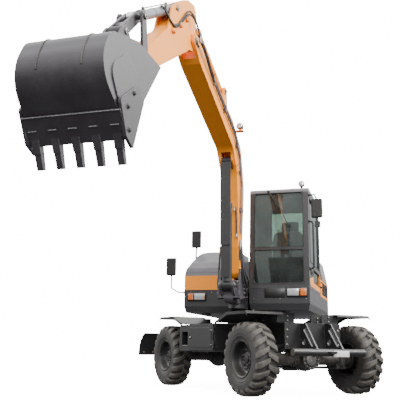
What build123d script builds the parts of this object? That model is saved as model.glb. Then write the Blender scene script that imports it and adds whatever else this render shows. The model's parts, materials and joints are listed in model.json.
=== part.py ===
from build123d import *
import math
import os

# Wheeled excavator, millimetres and degrees.
# The undercarriage is modelled along +X with the slew axis at x = 0, y = 0 and the ground at z = 0.
# The upper structure is modelled along its own +X and turned by SLEW_ANGLE about the slew axis.

# Running gaps and plates
PIN_GAP = 0.3
SEAT_GAP = 0.3
SIDE_GAP = 5.0
RUN_GAP = 8.0
PLATE = 12.0
FAR = 5000.0

# Undercarriage
WHEELBASE = 2550.0
TRACK = 1800.0
FRONT_AXLE = WHEELBASE / 2
REAR_AXLE = -FRONT_AXLE
FRAME_HALF_WIDTH = 300.0
FRAME_TOP = 1000.0
FRAME_BOTTOM = 700.0
FRAME_END = FRONT_AXLE + 225.0
RING_RADIUS = 430.0
RING_SEAT_TOP = 1060.0
RING_SPLIT = 1110.0
FENDER_TOP = 1140.0
FENDER_SHEET = 10.0
FENDER_OUTER = 1075.0
FENDER_INNER = 470.0
SIDE_BOX_TOP = 990.0
SIDE_BOX_BOTTOM = 580.0
SIDE_BOX_OUTER = 1050.0
SIDE_BOX_REAR = REAR_AXLE + 595.0
SIDE_BOX_FRONT = FRONT_AXLE - 735.0
SIDE_BOX_WALL = 20.0
BOX_DOOR_REAR = SIDE_BOX_REAR + 350.0
BOX_HINGE_X = SIDE_BOX_FRONT - 14.0
BOX_HINGE_Y = SIDE_BOX_OUTER + 20.0
BOX_HINGE_Z = (SIDE_BOX_BOTTOM + 100.0, SIDE_BOX_TOP - 100.0)
BUMPER_X = FRAME_END + 350.0
BUMPER_Z = 600.0
BUMPER_RADIUS = 50.0
BUMPER_HALF_WIDTH = 600.0
GUSSET_Y = 216.0
GUSSET_SHEET = 24.0
TOW_PIN_RADIUS = 16.0
TOW_EYE_X = BUMPER_X + 110.0

# Wheels and axles
TYRE_RADIUS = 500.0
TYRE_WIDTH = 335.0
LUG_DEPTH = 34.0
RIM_FLANGE_RADIUS = 251.0
RIM_WIDTH = 290.0
BEAD_RADIUS = RIM_FLANGE_RADIUS - 14.0
BEAD_INSET = 34.0
RIM_SHEET = 14.0
RIM_DISC_INSET = 140.0
LUG_COUNT = 20
LUG_WIDTH = 70.0
LUG_SLANT = 24.0
TYRE_SIDES = 40
HUB_RADIUS = 130.0
HUB_LENGTH = 120.0
SPINDLE_RADIUS = 60.0
SPINDLE_IN_HUB = 60.0
AXLE_TUBE_RADIUS = 85.0
DIFF_RADIUS = 185.0
FRONT_DIFF_RADIUS = 168.0
KINGPIN_Y = 680.0
KINGPIN_RADIUS = 28.0
KNUCKLE_HALF_HEIGHT = 95.0
YOKE_RADIUS = 58.0
YOKE_SHEET = 34.0
STEER_ARM = 190.0
STEER_ARM_Z = 440.0
STEER_ROD_RADIUS = 20.0

# Rear blade
BLADE_PIVOT = (-FRAME_END - 140.0, 560.0)
BLADE_PIN_RADIUS = 25.0
BLADE_HALF_WIDTH = 1080.0
BLADE_TOP = (BLADE_PIVOT[0] - 480.0, 880.0)
BLADE_BOTTOM = (BLADE_PIVOT[0] - 760.0, 490.0)
BLADE_SHEET = 22.0
BLADE_ARM_Y = 250.0
BLADE_ARM_SHEET = 40.0
BLADE_CYL_RADIUS = 50.0
BLADE_ROD_RADIUS = 25.0
BLADE_CYL_BASE = (-FRAME_END - 100.0, 900.0)
BLADE_CYL_TOP = (BLADE_PIVOT[0] - 450.0, 690.0)

# Upper structure, in its own frame
SLEW_ANGLE = -43.6
DECK_BOTTOM = 1165.0
DECK_TOP = 1205.0
BODY_LEFT = 1035.0
BODY_RIGHT = -1007.0
CAB_FRONT = 1360.0
CAB_REAR = -77.0
CAB_RIGHT = 177.0
CAB_BOTTOM = 1468.0
CAB_TOP = 2943.0
CAB_WALL = 45.0
CAB_LEAN = 60.0
BOX_FRONT = 716.0
BOX_INNER = -205.0
BAND_BOTTOM = 1518.0
BAND_TOP = 1743.0
SKIRT_WALL = 30.0
SKIRT_DRAW = 24.0
SEAM = 4.0
TAIL_RADIUS = 1650.0
WEIGHT_FRONT = -TAIL_RADIUS + 470.0
HOOD_TOP = 2100.0
HOOD_SHEET = 30.0
HOOD_SLOPE = 70.0
HOOD_FRONT = -420.0
WALL_FRONT = -380.0
HINGE_RADIUS = 10.0
LAMP_DEPTH = 34.0
HOOD_HINGE_X = WALL_FRONT - 18.0
HOOD_HINGE_Z = HOOD_TOP + 15.0
HOOD_HINGE_Y = 700.0
DOOR_HINGE_Y = BODY_LEFT + 16.0
DOOR_HINGE_Z = (1640.0, 2640.0)
TANK_TOP = 2160.0
RAIL_RADIUS = 14.0
RAIL_TOP = 2450.0

# Swing post and working arm, side view points are (forward, up)
SWING_AXIS = 1520.0
SWING_PIN_RADIUS = 45.0
POST_HUB_RADIUS = 85.0
POST_BOTTOM = 1245.0
POST_HUB_TOP = 1495.0
NOSE_SHEET = 55.0
BOOM_FOOT = (SWING_AXIS + 180.0, POST_HUB_TOP + 145.0)
BOOM_CYL_FOOT = (BOOM_FOOT[0] + 250.0, BOOM_FOOT[1] - 170.0)
BOOM_CYL_TOP = (BOOM_FOOT[0] + 285.0, BOOM_FOOT[1] + 1565.0)
ARM_PIVOT = (BOOM_FOOT[0] + 2230.0, BOOM_FOOT[1] + 2420.0)
ARM_CYL_BASE = (ARM_PIVOT[0] - 1480.0, ARM_PIVOT[1] - 10.0)
ARM_LEVER = 396.0
ARM_CYL_TOP = (ARM_PIVOT[0] - 44.0, ARM_PIVOT[1] + ARM_LEVER)
BUCKET_CYL_BASE = (ARM_PIVOT[0] + 550.0, ARM_PIVOT[1] + 120.0)
BUCKET_PIVOT = (ARM_PIVOT[0] + 1670.0, ARM_PIVOT[1] - 1060.0)
ROCKER_PIVOT = (BUCKET_PIVOT[0] - 180.0, BUCKET_PIVOT[1] + 80.0)
LINK_TOP = (BUCKET_PIVOT[0] - 110.0, BUCKET_PIVOT[1] + 530.0)
LINK_FOOT = (BUCKET_PIVOT[0] + 200.0, BUCKET_PIVOT[1] + 230.0)
GUARD_HALF_WIDTH = 73.0
GUARD_REACH = 76.0
LINE_RADIUS = 11.0
BOOM_CYL_RADIUS = 65.0
BOOM_ROD_RADIUS = 38.0
ARM_CYL_RADIUS = 58.0
ARM_ROD_RADIUS = 34.0
BUCKET_CYL_RADIUS = 50.0
BUCKET_ROD_RADIUS = 30.0
BOOM_WIDTH = 243.0
ARM_CYL_EYE = 40.0
BUCKET_ROD_EYE = 32.0
EYE_ROOM = 130.0
BOOM_EYE_ROOM = 138.0
BOOM_BACK = ((-260.0, 1270.0, 500.0), (-60.0, 1830.0, 300.0), (450.0, 2095.0, 300.0))
ARM_WIDTH = 160.0
ARM_TIP_WIDTH = 120.0
ROCKER_OFF = 20.0
ROCKER_SHEET = 25.0
PIN_RADIUS = 30.0
EAR_SHEET = 30.0
BUCKET_WIDTH = 770.0
BUCKET_SHEET = 20.0
BUCKET_TAPER = 50.0
BUCKET_DEPTH = 620.0
TOOTH_COUNT = 5
TOOTH_WIDTH = 62.0

RIM_FACE = TRACK / 2 + RIM_WIDTH / 2
POST_WIDTH = BOOM_WIDTH + 2 * (SIDE_GAP + EAR_SHEET)


def block(x0, x1, y0, y1, z0, z1):
    """Box between two corners."""
    return Pos((x0 + x1) / 2, (y0 + y1) / 2, (z0 + z1) / 2) * Box(x1 - x0, y1 - y0, z1 - z0)


def across(point, radius, y0, y1):
    """Round bar along Y at a side view point."""
    return Pos(point[0], (y0 + y1) / 2, point[1]) * Rot(90, 0, 0) * Cylinder(radius, y1 - y0)


def upright(x, y, radius, z0, z1):
    """Round bar along Z."""
    return Pos(x, y, (z0 + z1) / 2) * Cylinder(radius, z1 - z0)


def lengthways(y, z, radius, x0, x1):
    """Round bar along X."""
    return Pos((x0 + x1) / 2, y, z) * Rot(0, 90, 0) * Cylinder(radius, x1 - x0)


def outline(points):
    """Closed outline. Each point is (across, up, corner radius)."""
    face = Polygon(*[point[:2] for point in points], align=None)
    for point in points:
        if point[2]:
            corner = face.vertices().sort_by_distance((point[0], point[1]))[0]
            face = fillet(corner, point[2])
    return face


def side_plate(points, y0, y1):
    """Plate cut to a side view outline of (x, z, corner radius) points, from y0 to y1."""
    return Pos(0, y0, 0) * extrude(Plane.XZ * outline(points), y1 - y0, dir=(0, 1, 0))


def plan_plate(points, z0, z1):
    """Plate cut to a plan view outline of (x, y, corner radius) points, from z0 to z1."""
    return Pos(0, 0, z0) * extrude(outline(points), z1 - z0, dir=(0, 0, 1))


def bent_sheet(points, sheet, y0, y1):
    """Sheet bent along a side view line of (x, z) points, its top face on the line."""
    lower = [(x, z - sheet) for x, z in reversed(points)]
    return side_plate([(x, z, 0) for x, z in points + lower], y0, y1)


def both_sides(part):
    """A piece and its mirror image about the middle plane."""
    return part + mirror(part, Plane.XZ)


def pair(part):
    """A piece and its mirror image as separate solids of one node."""
    return Compound(children=[part, mirror(part, Plane.XZ)])


def group(parts):
    """Several solids that don't touch, as one node."""
    return Compound(children=list(parts))


def distance(a, b):
    return math.hypot(b[0] - a[0], b[1] - a[1])


def slope(a, b):
    return math.degrees(math.atan2(b[1] - a[1], b[0] - a[0]))


def laid_along(a, b, part):
    """Place a piece modelled along +X so that it runs from point a towards point b in side view."""
    return Pos(a[0], 0, a[1]) * Rot(0, -slope(a, b), 0) * part


def strap(a, b, radius_a, radius_b, y0, y1):
    """Link plate with a round end at each of two side view points."""
    length = distance(a, b)
    plate = Plane.XZ * make_hull((Circle(radius_a) + Pos(length, 0) * Circle(radius_b)).edges())
    return laid_along(a, b, Pos(0, y0, 0) * extrude(plate, y1 - y0, dir=(0, 1, 0)))


def barrel(base, top, outer, rod_radius, length, pin_radius):
    """Cylinder barrel from its base eye, with the gland ring at its mouth."""
    eye = 1.9 * pin_radius
    gland = 0.06 * length
    body = lengthways(0, 0, outer, eye * 0.75, length)
    body += lengthways(0, 0, outer + 6, length - gland, length)
    body += across((0, 0), eye, -outer, outer)
    body -= across((0, 0), pin_radius + PIN_GAP, -outer, outer)
    body -= lengthways(0, 0, rod_radius + PIN_GAP, eye + 20, length)
    return laid_along(base, top, body)


def rod(base, top, radius, start, outer, pin_radius):
    """Cylinder rod from inside its barrel to its eye, with the short pin that the eye carries."""
    length = distance(base, top)
    body = lengthways(0, 0, radius, start, length)
    body += across((length, 0), 1.9 * pin_radius, -outer, outer)
    body += across((length, 0), pin_radius, -outer - SIDE_GAP + PIN_GAP, outer + SIDE_GAP - PIN_GAP)
    return laid_along(base, top, body)


# Undercarriage frame

def chassis_frame():
    """Box frame with a slew ring seat, the blade brackets behind and the bumper bracket in front."""
    sides = [(-FRAME_END, FRAME_TOP, 0), (FRAME_END, FRAME_TOP, 0), (FRAME_END, FRAME_BOTTOM, 0),
             (FRONT_AXLE - 260, FRAME_BOTTOM, 0),
             (FRONT_AXLE - 515, 590, 40), (REAR_AXLE + 515, 590, 40), (REAR_AXLE + 260, FRAME_BOTTOM, 0),
             (REAR_AXLE - 200, FRAME_BOTTOM, 0), (-FRAME_END + 20, 520, 0), (-FRAME_END, 520, 0)]
    frame = side_plate(sides, -FRAME_HALF_WIDTH, FRAME_HALF_WIDTH)
    frame += upright(0, 0, RING_RADIUS + 40, FRAME_TOP, RING_SEAT_TOP)
    frame += upright(0, 0, RING_RADIUS, RING_SEAT_TOP, RING_SPLIT)
    # Front plate across the frame and the two gussets that carry the bumper tube
    frame += block(FRAME_END - 20, FRAME_END, -480, 480, 640, FRAME_TOP)
    gusset = [(FRAME_END, FRAME_TOP, 0), (FRAME_END + 130, FRAME_TOP - 8, 20), (BUMPER_X + 35, BUMPER_Z + 45, 20),
              (BUMPER_X + 35, BUMPER_Z - 20, 10), (BUMPER_X - 60, BUMPER_Z - 60, 20), (FRAME_END, 620, 0)]
    # Each gusset has a long hole along its upper edge and a round hole over the frame's corner
    slot_start, slot_end = (FRAME_END + 120, FRAME_TOP - 90), (BUMPER_X - 70, BUMPER_Z + 110)
    for side in (-1, 1):
        middle = side * GUSSET_Y
        plate = side_plate(gusset, middle - GUSSET_SHEET / 2, middle + GUSSET_SHEET / 2)
        plate -= strap(slot_start, slot_end, 34, 34, middle - GUSSET_SHEET, middle + GUSSET_SHEET)
        plate -= across((FRAME_END + 90, 740), 42, middle - GUSSET_SHEET, middle + GUSSET_SHEET)
        frame += plate
    # Flange along the top of the frame, its edge towards the fenders
    frame += block(-FRAME_END, FRAME_END, -FRAME_HALF_WIDTH - 40, FRAME_HALF_WIDTH + 40, FRAME_TOP - 18, FRAME_TOP)
    for ear in box_hinge_ears():
        frame += both_sides(ear)
    frame += across((BUMPER_X, BUMPER_Z), BUMPER_RADIUS, -BUMPER_HALF_WIDTH, BUMPER_HALF_WIDTH)
    # Tow clevis in the middle of the tube, with its upright pin hole
    lug = plan_plate([(BUMPER_X, -50, 0), (TOW_EYE_X + 10, -50, 20), (TOW_EYE_X + 45, 0, 30),
                      (TOW_EYE_X + 10, 50, 20), (BUMPER_X, 50, 0)], BUMPER_Z - 15, BUMPER_Z + 15)
    frame += lug
    frame -= upright(TOW_EYE_X, 0, TOW_PIN_RADIUS, BUMPER_Z - 20, BUMPER_Z + 20)
    frame += both_sides(side_box())
    # Rear ears for the blade arms and for the blade cylinder
    ear = [(-FRAME_END, 760, 0), (BLADE_PIVOT[0], BLADE_PIVOT[1] + 70, 30),
           (BLADE_PIVOT[0] - 60, BLADE_PIVOT[1], 40), (BLADE_PIVOT[0], BLADE_PIVOT[1] - 60, 30),
           (-FRAME_END, 520, 0)]
    inner = BLADE_ARM_Y - BLADE_ARM_SHEET / 2 - SIDE_GAP
    frame += both_sides(side_plate(ear, inner - 30, inner))
    frame -= across(BLADE_PIVOT, BLADE_PIN_RADIUS + PIN_GAP, -inner, inner)
    cyl_ear = [(-FRAME_END, 990, 0), (BLADE_CYL_BASE[0] - 20, 965, 30), (BLADE_CYL_BASE[0] - 55, 900, 40),
               (BLADE_CYL_BASE[0] - 20, 845, 30), (-FRAME_END, 800, 0)]
    frame += both_sides(side_plate(cyl_ear, BLADE_CYL_RADIUS + SIDE_GAP, BLADE_CYL_RADIUS + SIDE_GAP + 25))
    frame += across(BLADE_CYL_BASE, BLADE_PIN_RADIUS, -BLADE_CYL_RADIUS - 40, BLADE_CYL_RADIUS + 40)
    return frame


def fenders():
    """Sheet fenders over the four wheels, each on two gussets that stand on the frame."""
    line = [(FRONT_AXLE - 715, 1010), (FRONT_AXLE - 665, 1030), (FRONT_AXLE - 345, FENDER_TOP),
            (FRONT_AXLE + 165, FENDER_TOP), (FRONT_AXLE + 195, FENDER_TOP - 30)]
    front = bent_sheet(line, FENDER_SHEET, FENDER_INNER, FENDER_OUTER)
    front += bent_sheet(line, 4 * FENDER_SHEET, FENDER_OUTER - 6, FENDER_OUTER)
    for x in (FRONT_AXLE - 155, FRONT_AXLE + 105):
        front += block(x, x + PLATE, FRAME_HALF_WIDTH - 60, FENDER_INNER + 60, FRAME_TOP, FENDER_TOP - FENDER_SHEET)
    rear = mirror(front, Plane.YZ)
    solids = [front, mirror(front, Plane.XZ), rear, mirror(rear, Plane.XZ)]
    return group(solids)


def side_box():
    """Open storage box on the left of the frame, its mouth on the outer side."""
    x0, x1 = SIDE_BOX_REAR, SIDE_BOX_FRONT
    wall = SIDE_BOX_WALL
    profile = [(x0, SIDE_BOX_BOTTOM, 60), (x1, SIDE_BOX_BOTTOM, 60), (x1, SIDE_BOX_TOP, 20),
               (x0, SIDE_BOX_TOP, 20)]
    box = side_plate(profile, FRAME_HALF_WIDTH, SIDE_BOX_OUTER)
    box -= block(BOX_DOOR_REAR + wall, x1 - 3 * wall, FRAME_HALF_WIDTH + wall, SIDE_BOX_OUTER + 1,
                 SIDE_BOX_BOTTOM + 2 * wall, SIDE_BOX_TOP - wall)
    # Step recess behind the door
    box -= block(x0 + 90, BOX_DOOR_REAR - 50, SIDE_BOX_OUTER - 220, SIDE_BOX_OUTER + 1, SIDE_BOX_BOTTOM + 70,
                 SIDE_BOX_TOP - 110)
    return box


def box_hinge_ears():
    """Ears and pins of the hinges at the front edge of the left side box."""
    x, y = BOX_HINGE_X, BOX_HINGE_Y
    ears = []
    for z in BOX_HINGE_Z:
        ear = block(x - 13, x + 14, SIDE_BOX_OUTER - 5, y + 13, z - 45, z - 27)
        ear += block(x - 13, x + 14, SIDE_BOX_OUTER - 5, y + 13, z + 27, z + 45)
        ears.append(ear + upright(x, y, 6, z - 30, z + 30))
    return ears


def box_door():
    """Door of the left side box, outside its mouth, with a raised panel, a latch and hinge knuckles."""
    gap = SIDE_GAP
    low, high = SIDE_BOX_BOTTOM + 15 + gap, SIDE_BOX_TOP - 2 * gap
    front = BOX_HINGE_X - 26
    door = block(BOX_DOOR_REAR, front, SIDE_BOX_OUTER + SEAT_GAP, SIDE_BOX_OUTER + 18, low, high)
    panel = block(BOX_DOOR_REAR + 45, front - 45, SIDE_BOX_OUTER + 10, SIDE_BOX_OUTER + 26, low + 45, high - 45)
    door += fillet(panel.edges().filter_by(Axis.Y), 25)
    latch = (BOX_DOOR_REAR + 90, (low + high) / 2)
    door -= across(latch, 40, SIDE_BOX_OUTER + 18, SIDE_BOX_OUTER + 30)
    door += across(latch, 22, SIDE_BOX_OUTER + 10, SIDE_BOX_OUTER + 26)
    for z in BOX_HINGE_Z:
        door += block(front - 20, BOX_HINGE_X, BOX_HINGE_Y - 6, BOX_HINGE_Y + 6, z - 26, z + 26)
        door += upright(BOX_HINGE_X, BOX_HINGE_Y, 12, z - 26, z + 26)
        door -= upright(BOX_HINGE_X, BOX_HINGE_Y, 6 + PIN_GAP, z - 26, z + 26)
    return door


def front_axle():
    """Steered axle beam with the final drive housing and a yoke at each end for the knuckle."""
    beam = across((FRONT_AXLE, TYRE_RADIUS), AXLE_TUBE_RADIUS, -KINGPIN_Y + 120, KINGPIN_Y - 120)
    beam += Pos(FRONT_AXLE, 0, TYRE_RADIUS) * Sphere(FRONT_DIFF_RADIUS)
    beam += lengthways(0, TYRE_RADIUS, DIFF_RADIUS - 45, FRONT_AXLE, FRONT_AXLE + DIFF_RADIUS - 10)
    for side in (-1, 1):
        beam += block(FRONT_AXLE - 90, FRONT_AXLE + 90, side * 220 - 45, side * 220 + 45, TYRE_RADIUS, FRAME_BOTTOM)
    beam += lengthways(0, TYRE_RADIUS, 70, FRONT_AXLE - 260, FRONT_AXLE)
    web = block(FRONT_AXLE - 60, FRONT_AXLE + 60, KINGPIN_Y - 150, KINGPIN_Y - 90,
                TYRE_RADIUS - KNUCKLE_HALF_HEIGHT - YOKE_SHEET - SIDE_GAP,
                TYRE_RADIUS + KNUCKLE_HALF_HEIGHT + YOKE_SHEET + SIDE_GAP)
    end = web
    for side in (-1, 1):
        inner = TYRE_RADIUS + side * (KNUCKLE_HALF_HEIGHT + SIDE_GAP)
        outer = inner + side * YOKE_SHEET
        low, high = min(inner, outer), max(inner, outer)
        ear = upright(FRONT_AXLE, KINGPIN_Y, YOKE_RADIUS, low, high)
        ear += block(FRONT_AXLE - YOKE_RADIUS, FRONT_AXLE + YOKE_RADIUS, KINGPIN_Y - 150, KINGPIN_Y, low, high)
        end += ear
        end -= upright(FRONT_AXLE, KINGPIN_Y, KINGPIN_RADIUS + PIN_GAP, low, high)
    beam += both_sides(end)
    # Steering cylinder body behind the beam, bored for the rod
    x = FRONT_AXLE - STEER_ARM
    z = STEER_ARM_Z - 60
    beam += across((x, z), 45, -230, 230)
    beam += block(x - 25, FRONT_AXLE - 40, -60, 60, z + 25, z + 70)
    beam -= across((x, z), STEER_ROD_RADIUS + PIN_GAP, -231, 231)
    return beam


def knuckle():
    """Left steering knuckle with its kingpin stubs, spindle and steering arm."""
    body = upright(FRONT_AXLE, KINGPIN_Y, 56, TYRE_RADIUS - KNUCKLE_HALF_HEIGHT, TYRE_RADIUS + KNUCKLE_HALF_HEIGHT)
    reach = KNUCKLE_HALF_HEIGHT + SIDE_GAP + YOKE_SHEET
    body += upright(FRONT_AXLE, KINGPIN_Y, KINGPIN_RADIUS, TYRE_RADIUS - reach, TYRE_RADIUS + reach)
    centre = (FRONT_AXLE, TYRE_RADIUS)
    face = RIM_FACE - RIM_DISC_INSET - HUB_LENGTH
    body += across(centre, 92, KINGPIN_Y + 30, face - RUN_GAP)
    body += across(centre, SPINDLE_RADIUS, KINGPIN_Y, face + SPINDLE_IN_HUB)
    arm = block(FRONT_AXLE - STEER_ARM, FRONT_AXLE, KINGPIN_Y - 30, KINGPIN_Y + 30,
                STEER_ARM_Z - 20, STEER_ARM_Z + 10)
    arm += upright(FRONT_AXLE - STEER_ARM, KINGPIN_Y, 36, STEER_ARM_Z - 20, STEER_ARM_Z + 10)
    body += arm
    return body


def steer_rod():
    """Rod of the steering cylinder, its ends under the steering arms."""
    x = FRONT_AXLE - STEER_ARM
    z = STEER_ARM_Z - 60
    bar = across((x, z), STEER_ROD_RADIUS, -KINGPIN_Y, KINGPIN_Y)
    for side in (-1, 1):
        bar += upright(x, side * KINGPIN_Y, 30, z - 22, STEER_ARM_Z - 20 - 1)
    return bar


def rear_axle():
    """Rigid axle beam with the final drive housing and a spindle for each wheel."""
    centre = (REAR_AXLE, TYRE_RADIUS)
    face = RIM_FACE - RIM_DISC_INSET - HUB_LENGTH
    beam = across(centre, AXLE_TUBE_RADIUS, -face + RUN_GAP, face - RUN_GAP)
    beam += both_sides(across(centre, SPINDLE_RADIUS, 500, face + SPINDLE_IN_HUB))
    beam += both_sides(across(centre, 100, face - 60, face - RUN_GAP))
    beam += Pos(REAR_AXLE, 0, TYRE_RADIUS) * Sphere(DIFF_RADIUS)
    beam += lengthways(0, TYRE_RADIUS, DIFF_RADIUS - 45, REAR_AXLE - DIFF_RADIUS + 10, REAR_AXLE)
    for side in (-1, 1):
        beam += block(REAR_AXLE - 90, REAR_AXLE + 90, side * 220 - 45, side * 220 + 45, TYRE_RADIUS, FRAME_BOTTOM)
    beam += lengthways(0, TYRE_RADIUS, 70, REAR_AXLE, REAR_AXLE + 260)
    return beam


def drive_line():
    """Transfer gearbox under the frame with a propeller shaft to each axle."""
    box = block(-160, 160, -130, 130, 400, 590)
    box = fillet(box.edges().filter_by(Axis.Y), 40)
    shafts = lengthways(0, TYRE_RADIUS, 32, REAR_AXLE + 260, FRONT_AXLE - 260)
    for x in (REAR_AXLE + 300, -220, 220, FRONT_AXLE - 300):
        shafts += lengthways(0, TYRE_RADIUS, 52, x - 40, x + 40)
    return box + shafts


# Wheels. Each is turned about Y with its outer side towards +Y and set in place afterwards.

def tyre_lug():
    """One straight lug, from the middle of the tread over the shoulder, set slanting."""
    half = TYRE_WIDTH / 2
    crown = TYRE_RADIUS - LUG_DEPTH
    reach = half / math.cos(math.radians(LUG_SLANT))
    line = [(-14, crown - 14), (-14, TYRE_RADIUS - 2), (0.68 * reach, TYRE_RADIUS - 9),
            (0.88 * reach, TYRE_RADIUS - 26), (1.08 * reach, TYRE_RADIUS - 66), (1.08 * reach, crown - 74),
            (0.9 * reach, crown - 74)]
    bar = extrude(Plane.YZ * Polygon(*line, align=None), LUG_WIDTH / 2, both=True)
    bar = Rot(0, 0, -LUG_SLANT) * bar
    return bar & block(-FAR, FAR, -half, half - 1, 0, FAR)


def tyre():
    """Tyre body of flat-sided rings, with a row of slanted lugs towards each shoulder."""
    half = TYRE_WIDTH / 2
    crown = TYRE_RADIUS - LUG_DEPTH
    bead, foot = BEAD_RADIUS + PIN_GAP, half - BEAD_INSET
    side = [(foot, bead + 24), (half - 6, bead + 80), (half, crown - 85), (half - 8, crown - 42),
            (half - 35, crown - 8)]
    rings = [(-y, radius) for y, radius in side] + side[::-1]
    body = loft([Pos(0, 0, y) * RegularPolygon(radius, TYRE_SIDES) for y, radius in rings], ruled=True)
    body = Rot(-90, 0, 0) * body
    step = 360 / LUG_COUNT
    left = tyre_lug()
    right = mirror(left, Plane.XZ)
    lugs = [Rot(0, i * step, 0) * left for i in range(LUG_COUNT)]
    lugs += [Rot(0, (i + 0.5) * step, 0) * right for i in range(LUG_COUNT)]
    body = body.fuse(*lugs)
    return body - across((0, 0), bead, -TYRE_WIDTH, TYRE_WIDTH)


def rim():
    """Drop centre rim with its inset disc and the hub drum that turns on the spindle."""
    half = RIM_WIDTH / 2
    flange = BEAD_RADIUS
    inner = half - RIM_DISC_INSET
    lip = TYRE_WIDTH / 2 - BEAD_INSET + PIN_GAP
    outside = [(-half, RIM_FLANGE_RADIUS, 0), (-lip, RIM_FLANGE_RADIUS, 0), (-lip, flange, 0), (lip, flange, 0),
               (lip, RIM_FLANGE_RADIUS, 0), (half, RIM_FLANGE_RADIUS, 0), (half, flange - RIM_SHEET, 0),
               (half - 40, flange - RIM_SHEET, 0), (half - 70, flange - 34, 0), (-half + 70, flange - 34, 0),
               (-half + 40, flange - RIM_SHEET, 0), (-half, flange - RIM_SHEET, 0)]
    barrel_ring = revolve(Plane.YZ * outline(outside), Axis.Y, 360)
    disc = across((0, 0), flange - RIM_SHEET / 2, inner - RIM_SHEET, inner)
    hub = across((0, 0), HUB_RADIUS, inner - HUB_LENGTH, inner + 20)
    cap = across((0, 0), 0.72 * HUB_RADIUS, inner, inner + 62)
    body = barrel_ring + disc + hub + fillet(cap.edges(), 14)
    body -= across((0, 0), SPINDLE_RADIUS + PIN_GAP, inner - HUB_LENGTH, inner - HUB_LENGTH + SPINDLE_IN_HUB + 5)
    return body


def at_wheel(part, x, side):
    """Set a wheel piece at its axle end, outer side outwards."""
    turned = part if side > 0 else mirror(part, Plane.XZ)
    return Pos(x, side * TRACK / 2, TYRE_RADIUS) * turned


# Rear blade

def dozer_blade():
    """Blade with two arms and a pair of ears for the cylinder."""
    top, bottom = BLADE_TOP, BLADE_BOTTOM
    hollow = (BLADE_PIVOT[0] - 690, 730.0)
    outer = ThreePointArc(top, hollow, bottom)
    back = ThreePointArc((bottom[0] + BLADE_SHEET, bottom[1] - 8), (hollow[0] + BLADE_SHEET, hollow[1] - 10),
                         (top[0] + BLADE_SHEET, top[1] - 8))
    face = make_face([outer, Line(bottom, (bottom[0] + BLADE_SHEET, bottom[1] - 8)), back,
                      Line((top[0] + BLADE_SHEET, top[1] - 8), top)])
    blade = Pos(0, -BLADE_HALF_WIDTH, 0) * extrude(Plane.XZ * face, 2 * BLADE_HALF_WIDTH, dir=(0, 1, 0))
    arm = [(BLADE_PIVOT[0] + 50, BLADE_PIVOT[1] + 35, 30), (BLADE_PIVOT[0] - 150, BLADE_PIVOT[1] + 70, 60),
           (BLADE_PIVOT[0] - 678, 730, 0), (BLADE_PIVOT[0] - 726, 590, 0),
           (BLADE_PIVOT[0] - 150, BLADE_PIVOT[1] - 60, 60),
           (BLADE_PIVOT[0] + 50, BLADE_PIVOT[1] - 35, 30)]
    for side in (-1, 1):
        middle = side * BLADE_ARM_Y
        blade += side_plate(arm, middle - BLADE_ARM_SHEET / 2, middle + BLADE_ARM_SHEET / 2)
        pin = across(BLADE_PIVOT, BLADE_PIN_RADIUS, middle - 60, middle + 30) if side > 0 else \
            across(BLADE_PIVOT, BLADE_PIN_RADIUS, middle - 30, middle + 60)
        blade += pin
    ear = [(BLADE_CYL_TOP[0] + 50, BLADE_CYL_TOP[1] + 30, 30), (BLADE_CYL_TOP[0] - 30, BLADE_CYL_TOP[1] + 60, 30),
           (BLADE_PIVOT[0] - 678, 735, 0), (BLADE_PIVOT[0] - 722, 600, 0),
           (BLADE_CYL_TOP[0] + 40, BLADE_CYL_TOP[1] - 45, 30)]
    blade += both_sides(side_plate(ear, BLADE_CYL_RADIUS + SIDE_GAP, BLADE_CYL_RADIUS + SIDE_GAP + 25))
    return blade


def blade_cyl_barrel():
    return barrel(BLADE_CYL_BASE, BLADE_CYL_TOP, BLADE_CYL_RADIUS, BLADE_ROD_RADIUS, 400, BLADE_PIN_RADIUS)


def blade_cyl_rod():
    return rod(BLADE_CYL_BASE, BLADE_CYL_TOP, BLADE_ROD_RADIUS, 90, BLADE_CYL_RADIUS, BLADE_PIN_RADIUS)


# Upper structure

def body_plan(inset):
    """Plan of the upper body, drawn in by inset from its outer faces."""
    left, right = BODY_LEFT - inset, BODY_RIGHT + inset
    cab_front, box_front = CAB_FRONT - inset, BOX_FRONT - inset
    cab_side, box_side = CAB_RIGHT + inset, BOX_INNER - inset
    throat = 620 - inset
    front = Polygon((cab_front, left), (cab_front, cab_side), (throat, cab_side), (throat, box_side),
                    (box_front, box_side), (box_front, right), (-TAIL_RADIUS, right), (-TAIL_RADIUS, left),
                    align=None)
    tail = Circle(TAIL_RADIUS - inset)
    return front & (tail + Pos(TAIL_RADIUS / 2, 0) * Rectangle(TAIL_RADIUS, 2 * TAIL_RADIUS))


def raised(plan, height):
    """Plan extruded straight up."""
    return extrude(plan, height, dir=(0, 0, 1))


def body_ring(z0, z1, wall):
    """Wall of the upper body between two heights."""
    ring = raised(body_plan(0), z1 - z0) - raised(body_plan(wall), z1 - z0)
    return Pos(0, 0, z0) * ring


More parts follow.
